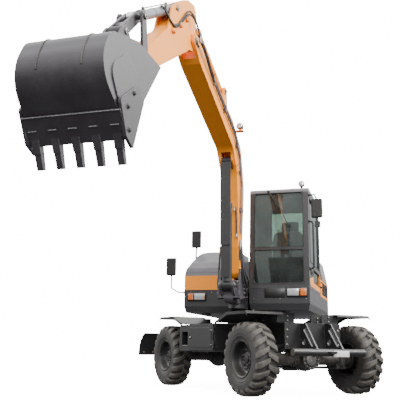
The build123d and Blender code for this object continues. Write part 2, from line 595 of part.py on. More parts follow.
def upper_frame():
    """Deck plate with the upper slew race and the nose that holds the swing post."""
    deck = Pos(0, 0, DECK_BOTTOM) * raised(body_plan(SKIRT_WALL + SEAT_GAP), DECK_TOP - DECK_BOTTOM)
    deck += upright(0, 0, RING_RADIUS - 30, RING_SPLIT + PIN_GAP, DECK_BOTTOM)
    # Wall between the engine and the tanks, with the ears of the hood hinges on top
    inside = SKIRT_WALL + SEAT_GAP
    deck += block(HOOD_FRONT + SIDE_GAP, WALL_FRONT, BODY_RIGHT + inside, BODY_LEFT - inside, DECK_TOP, BAND_TOP)
    deck += block(HOOD_FRONT + SIDE_GAP, WALL_FRONT, -HOOD_HINGE_Y - 100, HOOD_HINGE_Y + 100, BAND_TOP,
                  HOOD_TOP - 60)
    for y in (-HOOD_HINGE_Y, HOOD_HINGE_Y):
        for side in (-1, 1):
            middle = y + side * 38
            deck += block(HOOD_FRONT + SIDE_GAP, WALL_FRONT, middle - 8, middle + 8, HOOD_TOP - 70, HOOD_TOP + 34)
        deck += across((HOOD_HINGE_X, HOOD_HINGE_Z), HINGE_RADIUS, y - 46, y + 46)
    # Rubber mounts under the cab corners
    for x in (CAB_REAR + 120, CAB_FRONT - 160):
        for y in (CAB_RIGHT + 110, BODY_LEFT - 110):
            deck += upright(x, y, 55, DECK_TOP, CAB_BOTTOM - SEAT_GAP)
    low = [(300, -150, 0), (SWING_AXIS - 120, -120, 40), (SWING_AXIS, -POST_HUB_RADIUS, 60),
           (SWING_AXIS + POST_HUB_RADIUS, 0, 60), (SWING_AXIS, POST_HUB_RADIUS, 60), (SWING_AXIS - 120, 120, 40),
           (300, 150, 0)]
    for z0, z1 in ((POST_BOTTOM - SIDE_GAP - NOSE_SHEET, POST_BOTTOM - SIDE_GAP),
                   (POST_HUB_TOP + SIDE_GAP, POST_HUB_TOP + SIDE_GAP + NOSE_SHEET)):
        deck += plan_plate(low, z0, z1)
    for side in (-1, 1):
        deck += block(300, SWING_AXIS - 260, side * 120 - 15, side * 120 + 15, DECK_BOTTOM,
                      POST_HUB_TOP + SIDE_GAP + NOSE_SHEET)
    deck += block(SWING_AXIS - 290, SWING_AXIS - 260, -120, 120, DECK_TOP, POST_HUB_TOP + SIDE_GAP + NOSE_SHEET)
    deck -= upright(SWING_AXIS, 0, SWING_PIN_RADIUS + PIN_GAP, DECK_BOTTOM, POST_HUB_TOP + 2 * NOSE_SHEET)
    return deck


def counterweight():
    """Cast counterweight with a round tail."""
    plan = body_plan(0) & Pos(WEIGHT_FRONT - FAR / 2, 0) * Rectangle(FAR, FAR)
    casting = Pos(0, 0, DECK_BOTTOM) * raised(plan, BAND_TOP - DECK_BOTTOM)
    deck = Pos(0, 0, DECK_BOTTOM) * raised(body_plan(SKIRT_WALL), DECK_TOP + SEAT_GAP - DECK_BOTTOM)
    return casting - deck


def skirt_ring(top):
    """Wall round the deck, its outer face drawn in towards the lower edge."""
    ring = body_ring(DECK_BOTTOM, top, SKIRT_WALL)
    low = Pos(0, 0, DECK_BOTTOM) * body_plan(SKIRT_DRAW)
    high = Pos(0, 0, DECK_BOTTOM + 4 * SKIRT_DRAW) * body_plan(0)
    foot = loft([low, high], ruled=True) + Pos(0, 0, DECK_BOTTOM + 4 * SKIRT_DRAW) * raised(body_plan(0), FAR)
    return ring & foot


def left_skirt():
    """Lower body panel under the cab and the left side."""
    ring = skirt_ring(CAB_BOTTOM - SEAM)
    return ring & block(WEIGHT_FRONT + SEAM, CAB_FRONT + 10, CAB_RIGHT - 10, BODY_LEFT + 10, 0, FAR)


def right_skirt():
    """Lower body panel round the right front."""
    ring = skirt_ring(BAND_BOTTOM - SEAM)
    return ring & block(WEIGHT_FRONT + SEAM, BOX_FRONT + 10, BODY_RIGHT - 10, BOX_INNER + 10, 0, FAR)


def left_band():
    """Coloured panel along the left side behind the cab."""
    return block(WEIGHT_FRONT + SEAM, CAB_REAR - SEAM, BODY_LEFT - SKIRT_WALL, BODY_LEFT, CAB_BOTTOM, BAND_TOP - SEAM)


def right_band():
    """Coloured panel round the right front, above the skirt."""
    ring = body_ring(BAND_BOTTOM, BAND_TOP - SEAM, SKIRT_WALL)
    return ring & block(WEIGHT_FRONT + SEAM, BOX_FRONT + 10, BODY_RIGHT - 10, BOX_INNER + 10, 0, FAR)


def tank_cover_at(lift):
    """The tank cover's form, its front and outer faces lifted off by a distance."""
    foot, top = BAND_TOP - SEAM + SEAT_GAP, TANK_TOP + lift
    front, outer = BOX_FRONT + lift, BODY_RIGHT - lift
    back = WALL_FRONT + SEAT_GAP
    profile = [(back, foot, 0), (front, foot, 0), (front - 30, BAND_TOP + 120, 60),
               (front - 100, BAND_TOP + 215, 120),
               (front - 330, top, 90), (back, top, 0)]
    section = [(outer, foot, 0), (outer + 12, BAND_TOP + 85, 60), (outer + 165, top - 25, 150),
               (outer + 330, top, 60),
               (BOX_INNER, top, 0), (BOX_INNER, foot, 0)]
    across_form = side_plate(profile, outer, BOX_INNER)
    flat = Plane.YZ * outline(section)
    return across_form & Pos(back, 0, 0) * extrude(flat, front - back, dir=(1, 0, 0))


def tank_cover():
    """Grey hood over the tanks on the right front, with a rounded outer shoulder."""
    return tank_cover_at(0)


def engine_hood():
    """Hinged rear hood, open below and towards the wall in front of it."""
    def level(inset, height, front):
        zone = Pos(front - TAIL_RADIUS / 2, 0) * Rectangle(TAIL_RADIUS, 3 * TAIL_RADIUS)
        return Pos(0, 0, height) * (body_plan(inset) & zone)

    base, sheet = BAND_TOP + SIDE_GAP, HOOD_SHEET
    outer = loft([level(0, base, HOOD_FRONT), level(HOOD_SLOPE, HOOD_TOP, HOOD_FRONT)], ruled=True)
    front = HOOD_FRONT + 100
    inner = loft([level(sheet, base, front), level(sheet + HOOD_SLOPE, HOOD_TOP, front)], ruled=True)
    hood = outer - (inner & block(-FAR, FAR, -FAR, FAR, 0, HOOD_TOP - sheet))
    hinge = (HOOD_HINGE_X, HOOD_HINGE_Z)
    for y in (-HOOD_HINGE_Y, HOOD_HINGE_Y):
        hood += block(HOOD_FRONT - 110, HOOD_HINGE_X, y - 28, y + 28, HOOD_TOP - 1, HOOD_HINGE_Z + 12)
        hood += across(hinge, HINGE_RADIUS + 6, y - 28, y + 28)
        hood -= across(hinge, HINGE_RADIUS + PIN_GAP, y - 28, y + 28)
    return hood


def engine():
    """Engine mass as one plain block at its real place."""
    return block(WEIGHT_FRONT + 50, HOOD_FRONT - 160, -420, 380, DECK_TOP, 1880)


def cab_shell():
    """Hollow cab with its front leaning back, windows cut through."""
    profile = [(CAB_REAR, CAB_BOTTOM, 0), (CAB_FRONT, CAB_BOTTOM, 0), (CAB_FRONT - CAB_LEAN, CAB_TOP, 90),
               (CAB_REAR, CAB_TOP, 70)]
    w = CAB_WALL
    inside = [(CAB_REAR + w, CAB_BOTTOM + w, 0), (CAB_FRONT - w - 2, CAB_BOTTOM + w, 0),
              (CAB_FRONT - CAB_LEAN - w, CAB_TOP - w, 50), (CAB_REAR + w, CAB_TOP - w, 40)]
    shell = side_plate(profile, CAB_RIGHT, BODY_LEFT)
    shell = shell - side_plate(inside, CAB_RIGHT + w, BODY_LEFT - w)
    return shell


WINDSHIELD = (CAB_RIGHT + 62, BODY_LEFT - 78, 1545.0, 2868.0)
SIDE_WINDOW = (CAB_REAR + 75, CAB_FRONT - 150, 1700.0, 2850.0)
REAR_WINDOW = (CAB_RIGHT + 80, BODY_LEFT - 80, 1900.0, 2840.0)
DOOR_SPAN = (CAB_REAR + 50, CAB_FRONT - 110, CAB_BOTTOM + 60, CAB_TOP - 70)
DOOR_SHEET = 40.0
GLASS_BAR = (2045.0, 18.0)
GLASS_CORNER = 60.0


def cab_cutters():
    """Window and door openings of the cab."""
    y0, y1, z0, z1 = WINDSHIELD
    front = block(CAB_FRONT - 140, CAB_FRONT + 20, y0, y1, z0, z1)
    front = fillet(front.edges().filter_by(Axis.X), GLASS_CORNER)
    middle, half = GLASS_BAR
    front -= block(CAB_FRONT - 140, CAB_FRONT + 20, y0, y1, middle - half, middle + half)
    x0, x1, s0, s1 = SIDE_WINDOW
    right = block(x0, x1, CAB_RIGHT - 10, CAB_RIGHT + 60, s0, s1)
    r0, r1, t0, t1 = REAR_WINDOW
    rear = block(CAB_REAR - 10, CAB_REAR + 60, r0, r1, t0, t1)
    d0, d1, e0, e1 = DOOR_SPAN
    left = block(d0, d1, BODY_LEFT - 60, BODY_LEFT + 10, e0, e1)
    return [front, right, rear, left]


def cab_panels():
    """Split the cab where its panels meet: floor, front, right side, door side, rear and roof."""
    shell = cab_shell()
    for cutter in cab_cutters():
        shell -= cutter
    w = CAB_WALL
    big = FAR
    floor_zone = block(-big, big, -big, big, 0, CAB_BOTTOM + w)
    roof_zone = block(-big, big, -big, big, CAB_TOP - 75, big)
    front_zone = block(CAB_FRONT - CAB_LEAN - 110, big, -big, big, CAB_BOTTOM + w, CAB_TOP - 75)
    rear_zone = block(-big, CAB_REAR + w, -big, big, CAB_BOTTOM + w, CAB_TOP - 75)
    middle = block(CAB_REAR + w, CAB_FRONT - CAB_LEAN - 110, -big, big, CAB_BOTTOM + w, CAB_TOP - 75)
    right_zone = middle & block(-big, big, -big, CAB_RIGHT + 300, 0, big)
    left_zone = middle & block(-big, big, CAB_RIGHT + 300, big, 0, big)
    rear = shell & rear_zone
    left = shell & left_zone
    for ear in door_hinge_ears():
        rear += ear
    return {"cab_floor": shell & floor_zone, "cab_front": shell & front_zone, "cab_side": shell & right_zone,
            "cab_left": left, "cab_rear": rear, "cab_roof": shell & roof_zone}


def cab_glass():
    """Fixed panes: two in the front, one right and one rear, set in their openings."""
    y0, y1, z0, z1 = WINDSHIELD
    middle, half = GLASS_BAR
    rise = CAB_TOP - CAB_BOTTOM
    bands = []
    for low, high in ((z0 + 0.4, middle - half - 0.4), (middle + half + 0.4, z1 - 0.4)):
        a = CAB_FRONT - 20 - CAB_LEAN * (low - CAB_BOTTOM) / rise
        b = CAB_FRONT - 20 - CAB_LEAN * (high - CAB_BOTTOM) / rise
        band = side_plate([(a - 8, low, 0), (a, low, 0), (b, high, 0), (b - 8, high, 0)], y0 + 0.4, y1 - 0.4)
        bands.append(band)
    opening = block(CAB_FRONT - 200, CAB_FRONT + 20, y0 + 0.4, y1 - 0.4, z0 + 0.4, z1 - 0.4)
    opening = fillet(opening.edges().filter_by(Axis.X), GLASS_CORNER)
    bands = [band & opening for band in bands]
    x0, x1, s0, s1 = SIDE_WINDOW
    right = block(x0 + 0.3, x1 - 0.3, CAB_RIGHT + 15, CAB_RIGHT + 22, s0 + 0.3, s1 - 0.3)
    r0, r1, t0, t1 = REAR_WINDOW
    rear = block(CAB_REAR + 15, CAB_REAR + 22, r0 + 0.3, r1 - 0.3, t0 + 0.3, t1 - 0.3)
    return group(bands + [right, rear])


def door_hinge_ears():
    """Ears and pins of the two door hinges, outside the rear door pillar."""
    x = DOOR_SPAN[0] - 25
    ears = []
    for z in DOOR_HINGE_Z:
        ear = block(x - 22, x + 14, BODY_LEFT - 5, DOOR_HINGE_Y + 14, z - 50, z - 27)
        ear += block(x - 22, x + 14, BODY_LEFT - 5, DOOR_HINGE_Y + 14, z + 27, z + 50)
        ears.append(ear + upright(x, DOOR_HINGE_Y, HINGE_RADIUS - 4, z - 30, z + 30))
    return ears


def door_frame():
    """Left door frame with two windows, in its opening, and its two hinge knuckles."""
    x0, x1, z0, z1 = DOOR_SPAN
    gap = SIDE_GAP
    door = block(x0 + gap, x1 - gap, BODY_LEFT - DOOR_SHEET, BODY_LEFT - 2, z0 + gap, z1 - gap)
    door -= block(x0 + 70, x1 - 70, BODY_LEFT - 100, BODY_LEFT + 10, z0 + 330, z1 - 70)
    door -= block(x0 + 90, x1 - 430, BODY_LEFT - 100, BODY_LEFT + 10, z0 + 70, z0 + 260)
    x = x0 - 25
    for z in DOOR_HINGE_Z:
        door += block(x, x0 + 50, DOOR_HINGE_Y - 10, DOOR_HINGE_Y + 6, z - 26, z + 26)
        door += block(x0 + 12, x0 + 50, BODY_LEFT - 5, DOOR_HINGE_Y + 6, z - 26, z + 26)
        door += upright(x, DOOR_HINGE_Y, HINGE_RADIUS + 2, z - 26, z + 26)
        door -= upright(x, DOOR_HINGE_Y, HINGE_RADIUS - 4 + PIN_GAP, z - 26, z + 26)
    return door


def door_glass():
    x0, x1, z0, z1 = DOOR_SPAN
    pane = block(x0 + 70.3, x1 - 70.3, BODY_LEFT - 24, BODY_LEFT - 17, z0 + 330.3, z1 - 70.3)
    low = block(x0 + 90.3, x1 - 430.3, BODY_LEFT - 24, BODY_LEFT - 17, z0 + 70.3, z0 + 259.7)
    return group([pane, low])


def seat():
    """Suspension seat: base, cushion, back and armrests joined."""
    y = (CAB_RIGHT + BODY_LEFT) / 2
    floor = CAB_BOTTOM + CAB_WALL
    body = block(330, 620, y - 190, y + 190, floor, floor + 260)
    body += fillet(block(250, 760, y - 250, y + 250, floor + 260, floor + 380).edges(), 40)
    back = Pos(300, y, floor + 640) * Rot(0, -10, 0) * Box(120, 480, 640)
    body += fillet(back.edges(), 40)
    body += fillet((Pos(235, y, floor + 1040) * Rot(0, -10, 0) * Box(90, 280, 180)).edges(), 30)
    return body


def cab_controls():
    """Side consoles with levers, and the steering column with its wheel."""
    y = (CAB_RIGHT + BODY_LEFT) / 2
    floor = CAB_BOTTOM + CAB_WALL
    solids = []
    for side in (-1, 1):
        console = block(300, 820, y + side * 300 - 45, y + side * 300 + 45, floor, floor + 430)
        console += upright(770, y + side * 300, 18, floor + 430, floor + 600)
        console += Pos(770, y + side * 300, floor + 620) * Sphere(34)
        solids.append(console)
    column = Pos(1050, y, floor) * Rot(0, -14, 0) * Pos(0, 0, 300) * Cylinder(45, 620)
    column = column & block(0, FAR, -FAR, FAR, floor, FAR)
    wheel = Pos(974, y, floor + 612) * Rot(0, -20, 0) * (Torus(180, 16) + Box(360, 36, 14) + Cylinder(50, 40))
    solids.append(column + wheel)
    return group(solids)


def head_lamp(x, y0, y1, z0, z1, outer):
    """Rounded head lamp: a bezel with a pocket, the clear lens and the small lens at the outer end."""
    case = fillet(block(x, x + LAMP_DEPTH, y0, y1, z0, z1).edges().filter_by(Axis.X), 26)
    case = fillet(case.faces().sort_by(Axis.X)[-1].edges(), 8)
    split = y0 + 0.36 * (y1 - y0) if outer < 0 else y1 - 0.36 * (y1 - y0)
    lenses = []
    for a, b in ((y0 + 12, split - 4), (split + 4, y1 - 12)):
        pocket = block(x + LAMP_DEPTH - 14, x + LAMP_DEPTH + 1, a, b, z0 + 12, z1 - 12)
        case -= fillet(pocket.edges().filter_by(Axis.X), 16)
        lens = fillet(block(x + LAMP_DEPTH - 14, x + LAMP_DEPTH - 3, a, b, z0 + 12, z1 - 12).edges().filter_by(Axis.X), 16)
        lenses.append(lens)
    return case + lenses[0] + lenses[1]


def work_lamp(x, y, z):
    """Round work lamp facing forward, its drum on a foot that reaches down by its radius and a half."""
    drum = Pos(0, 0, z) * lengthways(y, 0, 45, x - 30, x + 30)
    drum = fillet(drum.edges().sort_by(Axis.X)[0], 14)
    drum -= Pos(0, 0, z) * lengthways(y, 0, 38, x + 24, x + 31)
    return drum + block(x - 20, x + 6, y - 14, y + 14, z - 68, z - 30)


def lamps():
    """Two head lamps in the skirts and the work lamp on the cab roof edge."""
    right = head_lamp(BOX_FRONT, -945, -655, 1370, 1452, -1)
    left = head_lamp(CAB_FRONT, 715, 1000, 1372, 1456, 1)
    work = work_lamp(CAB_FRONT - 170, 930, CAB_TOP + 68)
    return group([right, left, work])


def bent_tube(points, radius, bend):
    """Round tube along straight runs joined by arcs."""
    path = FilletPolyline(*points, radius=bend)
    return sweep(Plane(path @ 0, z_dir=path % 0) * Circle(radius), path)


def mirrors():
    """Three mirrors on their stalks: two on the right and one on the cab's left pillar."""
    def head(x, y, z):
        shell = fillet(block(x - 25, x + 25, y - 80, y + 80, z - 140, z + 140).edges(), 20)
        return shell - fillet(block(x - 40, x - 22, y - 66, y + 66, z - 126, z + 126).edges().filter_by(Axis.X), 14)
    wall = BODY_RIGHT - SEAT_GAP
    low = bent_tube([(BOX_FRONT - 16, wall, 1480), (BOX_FRONT - 16, wall - 90, 1480),
                     (BOX_FRONT + 84, wall - 190, 1540), (BOX_FRONT + 84, wall - 190, 1760)], 11, 40)
    first = low + head(BOX_FRONT + 84, BODY_RIGHT - 200, 1880)
    shoulder = BODY_RIGHT + 97
    high = bent_tube([(430, shoulder, 1900), (430, shoulder, 2180), (430, shoulder + 30, 2300)], 13, 25)
    second = (high - tank_cover_at(SEAT_GAP)) + head(430, shoulder, 2370)
    second = max(second.solids(), key=lambda part: part.volume)
    wall = BODY_LEFT + SEAT_GAP
    top = bent_tube([(CAB_FRONT - 90, wall, 2820), (CAB_FRONT - 70, wall + 90, 2820),
                     (CAB_FRONT - 70, wall + 120, 2740)], 11, 20)
    top -= block(0, FAR, 0, wall, 0, FAR)
    third = top + head(CAB_FRONT - 70, BODY_LEFT + 120, 2615)
    return group([first, second, third])


def handrails():
    """Grab rail beside the boom on the right platform, and the tall grab bar on the cab's left front pillar."""
    y = BOX_INNER + RAIL_RADIUS + PIN_GAP
    rail = bent_tube([(660, y, BAND_BOTTOM), (660, y, RAIL_TOP), (430, y, RAIL_TOP), (430, y, BAND_TOP)],
                     RAIL_RADIUS, 60)
    x, foot = CAB_FRONT - 80, BODY_LEFT + SEAT_GAP
    bar = bent_tube([(x, foot, 1750), (x, foot + 60, 1750), (x, foot + 60, 2430), (x, foot, 2430)],
                    RAIL_RADIUS, 40)
    return group([rail, bar])


# Swing post and working arm

def swing_post():
    """Post casting: hub on the swing pin, ears for the boom foot and for the boom cylinder."""
    hub = upright(SWING_AXIS, 0, POST_HUB_RADIUS, POST_BOTTOM, POST_HUB_TOP)
    hub += upright(SWING_AXIS, 0, SWING_PIN_RADIUS, POST_BOTTOM - SIDE_GAP - NOSE_SHEET,
                   POST_HUB_TOP + SIDE_GAP + NOSE_SHEET)
    half = POST_WIDTH / 2
    web = [(SWING_AXIS, POST_BOTTOM, 0), (BOOM_CYL_FOOT[0] - 50, POST_BOTTOM, 60),
           (BOOM_CYL_FOOT[0] - 100, BOOM_CYL_FOOT[1] - 20, 30),
           (BOOM_CYL_FOOT[0] - 140, POST_HUB_TOP, 0), (SWING_AXIS, POST_HUB_TOP, 0)]
    body = side_plate(web, -60, 60)
    ear = [(SWING_AXIS + 110, POST_BOTTOM + 60, 30), (BOOM_CYL_FOOT[0] - 50, POST_BOTTOM + 30, 60),
           (BOOM_CYL_FOOT[0] - 100, POST_HUB_TOP, 60),
           (BOOM_FOOT[0] + 95, BOOM_FOOT[1] + 60, 60), (BOOM_FOOT[0], BOOM_FOOT[1] + 80, 50),
           (BOOM_FOOT[0] - 78, BOOM_FOOT[1], 50), (SWING_AXIS + 110, POST_HUB_TOP, 30)]
    inner = BOOM_WIDTH / 2 + SIDE_GAP
    body += both_sides(side_plate(ear, inner, half))
    body += side_plate([(SWING_AXIS + 110, POST_BOTTOM + 60, 0), (BOOM_CYL_FOOT[0] - 70, POST_BOTTOM + 60, 0),
                        (BOOM_CYL_FOOT[0] - 90, BOOM_CYL_FOOT[1] - 30, 0),
                        (SWING_AXIS + 110, BOOM_CYL_FOOT[1] - 30, 0)], -half, half)
    foot_x, foot_z = BOOM_CYL_FOOT
    foot = [(foot_x - 130, POST_BOTTOM + 40, 20), (foot_x + 10, foot_z - 90, 40), (foot_x + 75, foot_z, 50),
            (foot_x + 10, foot_z + 75, 50), (foot_x - 120, POST_HUB_TOP, 20)]
    eye = BOOM_CYL_RADIUS + SIDE_GAP
    body += both_sides(side_plate(foot, eye, eye + EAR_SHEET))
    body += across(BOOM_FOOT, PIN_RADIUS, -half, half)
    clear = across(BOOM_CYL_FOOT, 1.9 * PIN_RADIUS + RUN_GAP, -eye, eye)
    clear += laid_along(BOOM_CYL_FOOT, BOOM_CYL_TOP, block(0, 600, -eye, eye, -eye - RUN_GAP, eye))
    pin = eye + EAR_SHEET + 5
    return (body - clear) + hub + across(BOOM_CYL_FOOT, PIN_RADIUS, -pin, pin)


def boom():
    """Box section boom, bent forward at its middle, with a nose fork for the arm."""
    half = BOOM_WIDTH / 2
    foot_x, foot_z = BOOM_FOOT
    nose_x, nose_z = ARM_PIVOT
    side = [(foot_x - 70, foot_z - 20, 50), (foot_x, foot_z - 78, 60), (foot_x + 78, foot_z, 50),
            (foot_x + 130, foot_z + 360, 0), (foot_x + 142, foot_z + 1021, 0), (foot_x + 185, foot_z + 1420, 260),
            (foot_x + 420, foot_z + 1705, 220), (nose_x - 180, nose_z - 194, 40), (nose_x - 20, nose_z - 90, 60),
            (nose_x + 85, nose_z - 30, 60), (nose_x + 60, nose_z + 70, 60), (nose_x - 60, nose_z + 90, 60),
            (nose_x - 630, nose_z - 75, 200)]
    side += [(foot_x + x, foot_z + z, radius) for x, z, radius in BOOM_BACK[::-1]]
    body = side_plate(side, -half, half)
    # Arm cylinder bracket on top of the knee
    base_x, base_z = ARM_CYL_BASE
    bracket = [(base_x - 120, base_z - 310, 0), (base_x - 60, base_z + 30, 40), (base_x, base_z + 70, 50),
               (base_x + 60, base_z + 30, 40), (base_x + 190, base_z - 250, 0)]
    eye = ARM_CYL_RADIUS + SIDE_GAP
    body += both_sides(side_plate(bracket, eye, eye + 25))
    body += across(ARM_CYL_BASE, PIN_RADIUS, -eye - 30, eye + 30)
    # Belly ears for the boom cylinder
    top_x, top_z = BOOM_CYL_TOP
    belly = [(top_x - 125, top_z - 95, 0), (top_x - 25, top_z - 70, 40), (top_x + 65, top_z - 15, 40),
             (top_x + 75, top_z + 95, 0), (top_x + 165, top_z + 215, 0), (top_x - 85, top_z + 95, 0)]
    eye = BOOM_CYL_RADIUS + SIDE_GAP
    body += both_sides(side_plate(belly, eye, eye + 25))
    body -= across(BOOM_CYL_TOP, BOOM_EYE_ROOM, -eye, eye)
    # Foot bore and nose slot
    body -= across(BOOM_FOOT, PIN_RADIUS + PIN_GAP, -half, half)
    slot = ARM_WIDTH / 2 + SIDE_GAP
    body -= across(ARM_PIVOT, 190, -slot, slot)
    body -= block(ARM_PIVOT[0], ARM_PIVOT[0] + 300, -slot, slot, ARM_PIVOT[1] - 400, ARM_PIVOT[1] + 300)
    body += across(ARM_PIVOT, PIN_RADIUS, -half, half)
    # Work lamp on a bracket off the left side, under the knee
    lamp_x, lamp_z = foot_x + 300, foot_z + 2060
    body += block(lamp_x - 60, lamp_x + 20, half - 2, half + 110, lamp_z - 78, lamp_z - 66)
    return body + work_lamp(lamp_x - 14, half + 62, lamp_z)


def offset_line(points, gap):
    """A side view line moved to its left by gap, corner by corner."""
    moved = []
    for i, point in enumerate(points):
        before = points[max(i - 1, 0)]
        after = points[min(i + 1, len(points) - 1)]
        headings = [math.radians(slope(a, b)) for a, b in ((before, point), (point, after)) if a != b]
        middle = sum(headings) / len(headings)
        reach = gap / math.cos((headings[-1] - headings[0]) / 2)
        moved.append((point[0] - reach * math.sin(middle), point[1] + reach * math.cos(middle)))
    return moved


def clamped_pipes(line, rows, clamp_runs):
    """Steel oil pipes along a side view line, one at each y of rows, joined by a clamp on some of its runs."""
    body = None
    for y in rows:
        tube = bent_tube([(x, y, z) for x, z in line], LINE_RADIUS, 60)
        body = tube if body is None else body + tube
    for a, b, low, high in clamp_runs:
        run = distance(a, b)
        body += laid_along(a, b, block(run / 2 - 25, run / 2 + 25, min(rows) - 20, max(rows) + 20, low, high))
    return body


def boom_lines():
    """Steel oil pipes along the back of the boom and down its left side, each pair joined by its clamps."""
    foot_x, foot_z = BOOM_FOOT
    back = [(-245, 1190), (-260, 1270), (-60, 1830), (450, 2095), (630, 2134)]
    back = [(foot_x + x, foot_z + z) for x, z in back]
    line = offset_line(back, LINE_RADIUS + 12)
    low, high = SEAT_GAP, 2 * LINE_RADIUS + 18
    backs = clamped_pipes(line, (20, 62), [(back[1], back[2], low, high), (back[2], back[3], low, high)])
    # Pair on the left face, one above the other
    wall = BOOM_WIDTH / 2 + SEAT_GAP
    y = wall + 12 + LINE_RADIUS
    front = [(70, 560), (20, 1240), (130, 1640), (430, 1900), (1500, 2200)]
    front = [(foot_x + x, foot_z + z) for x, z in front]
    sides = None
    for gap in (0, 46):
        tube = bent_tube([(x, y, z) for x, z in offset_line(front, gap)], LINE_RADIUS, 90)
        sides = tube if sides is None else sides + tube
    for a, b in zip(front, front[1:]):
        run = distance(a, b)
        clamp = block(run / 2 - 25, run / 2 + 25, wall, y + LINE_RADIUS + 6, -22, 68)
        sides += laid_along(a, b, clamp)
    return group([backs, sides])


def boom_cyl_barrel():
    """Barrel with the lower half of the front guard."""
    body = barrel(BOOM_CYL_FOOT, BOOM_CYL_TOP, BOOM_CYL_RADIUS, BOOM_ROD_RADIUS, 1130, PIN_RADIUS)
    plate = block(100, 570, -GUARD_HALF_WIDTH + 7, GUARD_HALF_WIDTH - 7, -GUARD_REACH - 8, -GUARD_REACH)
    for x in (180, 480):
        plate += block(x, x + 40, -30, 30, -GUARD_REACH - 4, -BOOM_CYL_RADIUS + 10)
    return body + laid_along(BOOM_CYL_FOOT, BOOM_CYL_TOP, plate)


def boom_cyl_rod():
    """Rod with the upper guard that slides down in front of the lower one."""
    body = rod(BOOM_CYL_FOOT, BOOM_CYL_TOP, BOOM_ROD_RADIUS, 560, BOOM_CYL_RADIUS, PIN_RADIUS)
    length = distance(BOOM_CYL_FOOT, BOOM_CYL_TOP)
    plate = block(530, length - 40, -GUARD_HALF_WIDTH, GUARD_HALF_WIDTH, -GUARD_REACH - 22, -GUARD_REACH - 14)
    plate += block(length - 110, length - 70, -60, 60, -GUARD_REACH - 16, 0)
    return body + laid_along(BOOM_CYL_FOOT, BOOM_CYL_TOP, plate)


def arm():
    """Arm with its root bosses, cylinder ears and slim tip."""
    half = ARM_WIDTH / 2
    root_x, root_z = ARM_PIVOT
    tip_x, tip_z = BUCKET_PIVOT
    side = [(root_x - 60, root_z - 100, 70), (root_x + 120, root_z - 160, 60), (root_x + 630, root_z - 504, 200),
            (tip_x - 120, tip_z - 40, 0), (tip_x + 20, tip_z - 75, 60), (tip_x + 75, tip_z + 10, 50),
            (tip_x - 160, tip_z + 215, 100), (root_x + 830, root_z - 260, 150), (root_x + 710, root_z + 70, 80),
            (root_x + 210, root_z + 410, 80), (root_x - 50, root_z + 480, 60), (root_x - 130, root_z + 380, 60)]
    # Slim tip between the bucket ears
    tip = ARM_TIP_WIDTH / 2
    cut = laid_along(BUCKET_PIVOT, ROCKER_PIVOT, block(-140, 175, tip, 200, -220, 220))
    body = side_plate(side, -half, half) - cut - mirror(cut, Plane.XZ)
    # Slots for the arm cylinder and bucket cylinder eyes
    eye = ARM_CYL_EYE + SIDE_GAP
    top_x, top_z = ARM_CYL_TOP
    swept = [(top_x - 320, top_z + 150, 0), (top_x - 320, root_z - 210, 0), (root_x - 130, root_z - 210, 0),
             (root_x - 66, root_z, 0), (top_x + 44, top_z, 0), (top_x + 44, top_z + 150, 0)]
    body -= across(ARM_CYL_TOP, EYE_ROOM, -eye, eye)
    body -= side_plate(swept, -eye, eye)
    eye = BUCKET_CYL_RADIUS + SIDE_GAP + 6
    low = -eye - RUN_GAP
    body -= across(BUCKET_CYL_BASE, 1.9 * PIN_RADIUS + RUN_GAP, -eye, eye)
    room = side_plate([(0, low, 0), (450, low - 85, 0), (1500, low - 85, 0), (1500, 300, 0),
    (0, 300, 0)], -eye, eye)
    body -= laid_along(BUCKET_CYL_BASE, LINK_TOP, room)
    body += across(BUCKET_CYL_BASE, PIN_RADIUS, -half, half)
    body -= across(ARM_PIVOT, PIN_RADIUS + PIN_GAP, -half, half)
    body -= across(BUCKET_PIVOT, PIN_RADIUS + PIN_GAP, -half, half)
    body += across(ROCKER_PIVOT, PIN_RADIUS, -half - ROCKER_OFF - ROCKER_SHEET, half + ROCKER_OFF + ROCKER_SHEET)
    body += across(ROCKER_PIVOT, 1.7 * PIN_RADIUS, -half - ROCKER_OFF + SIDE_GAP, half + ROCKER_OFF - SIDE_GAP)
    return body


def arm_cyl_barrel():
    return barrel(ARM_CYL_BASE, ARM_CYL_TOP, ARM_CYL_RADIUS, ARM_ROD_RADIUS, 1180, PIN_RADIUS)


def arm_cyl_rod():
    return rod(ARM_CYL_BASE, ARM_CYL_TOP, ARM_ROD_RADIUS, 520, ARM_CYL_EYE, PIN_RADIUS)


def bucket_cyl_barrel():
    return barrel(BUCKET_CYL_BASE, LINK_TOP, BUCKET_CYL_RADIUS, BUCKET_ROD_RADIUS, 1030, PIN_RADIUS)


def bucket_cyl_rod():
    return rod(BUCKET_CYL_BASE, LINK_TOP, BUCKET_ROD_RADIUS, 380, BUCKET_ROD_EYE, PIN_RADIUS)


def rocker():
    """Pair of rocker plates outside the arm, from the arm to the link."""
    half = ARM_WIDTH / 2
    inner = half + ROCKER_OFF
    plate = strap(ROCKER_PIVOT, LINK_TOP, 62, 52, inner, inner + ROCKER_SHEET)
    plate -= across(ROCKER_PIVOT, PIN_RADIUS + PIN_GAP, 0, 2 * half)
    # Pin stub from the rocker plate to the link's eye, with its outer collar
    plate += across(LINK_TOP, 0.8 * PIN_RADIUS, ARM_TIP_WIDTH / 2 + SEAT_GAP, inner + ROCKER_SHEET + 8)
    return pair(plate)


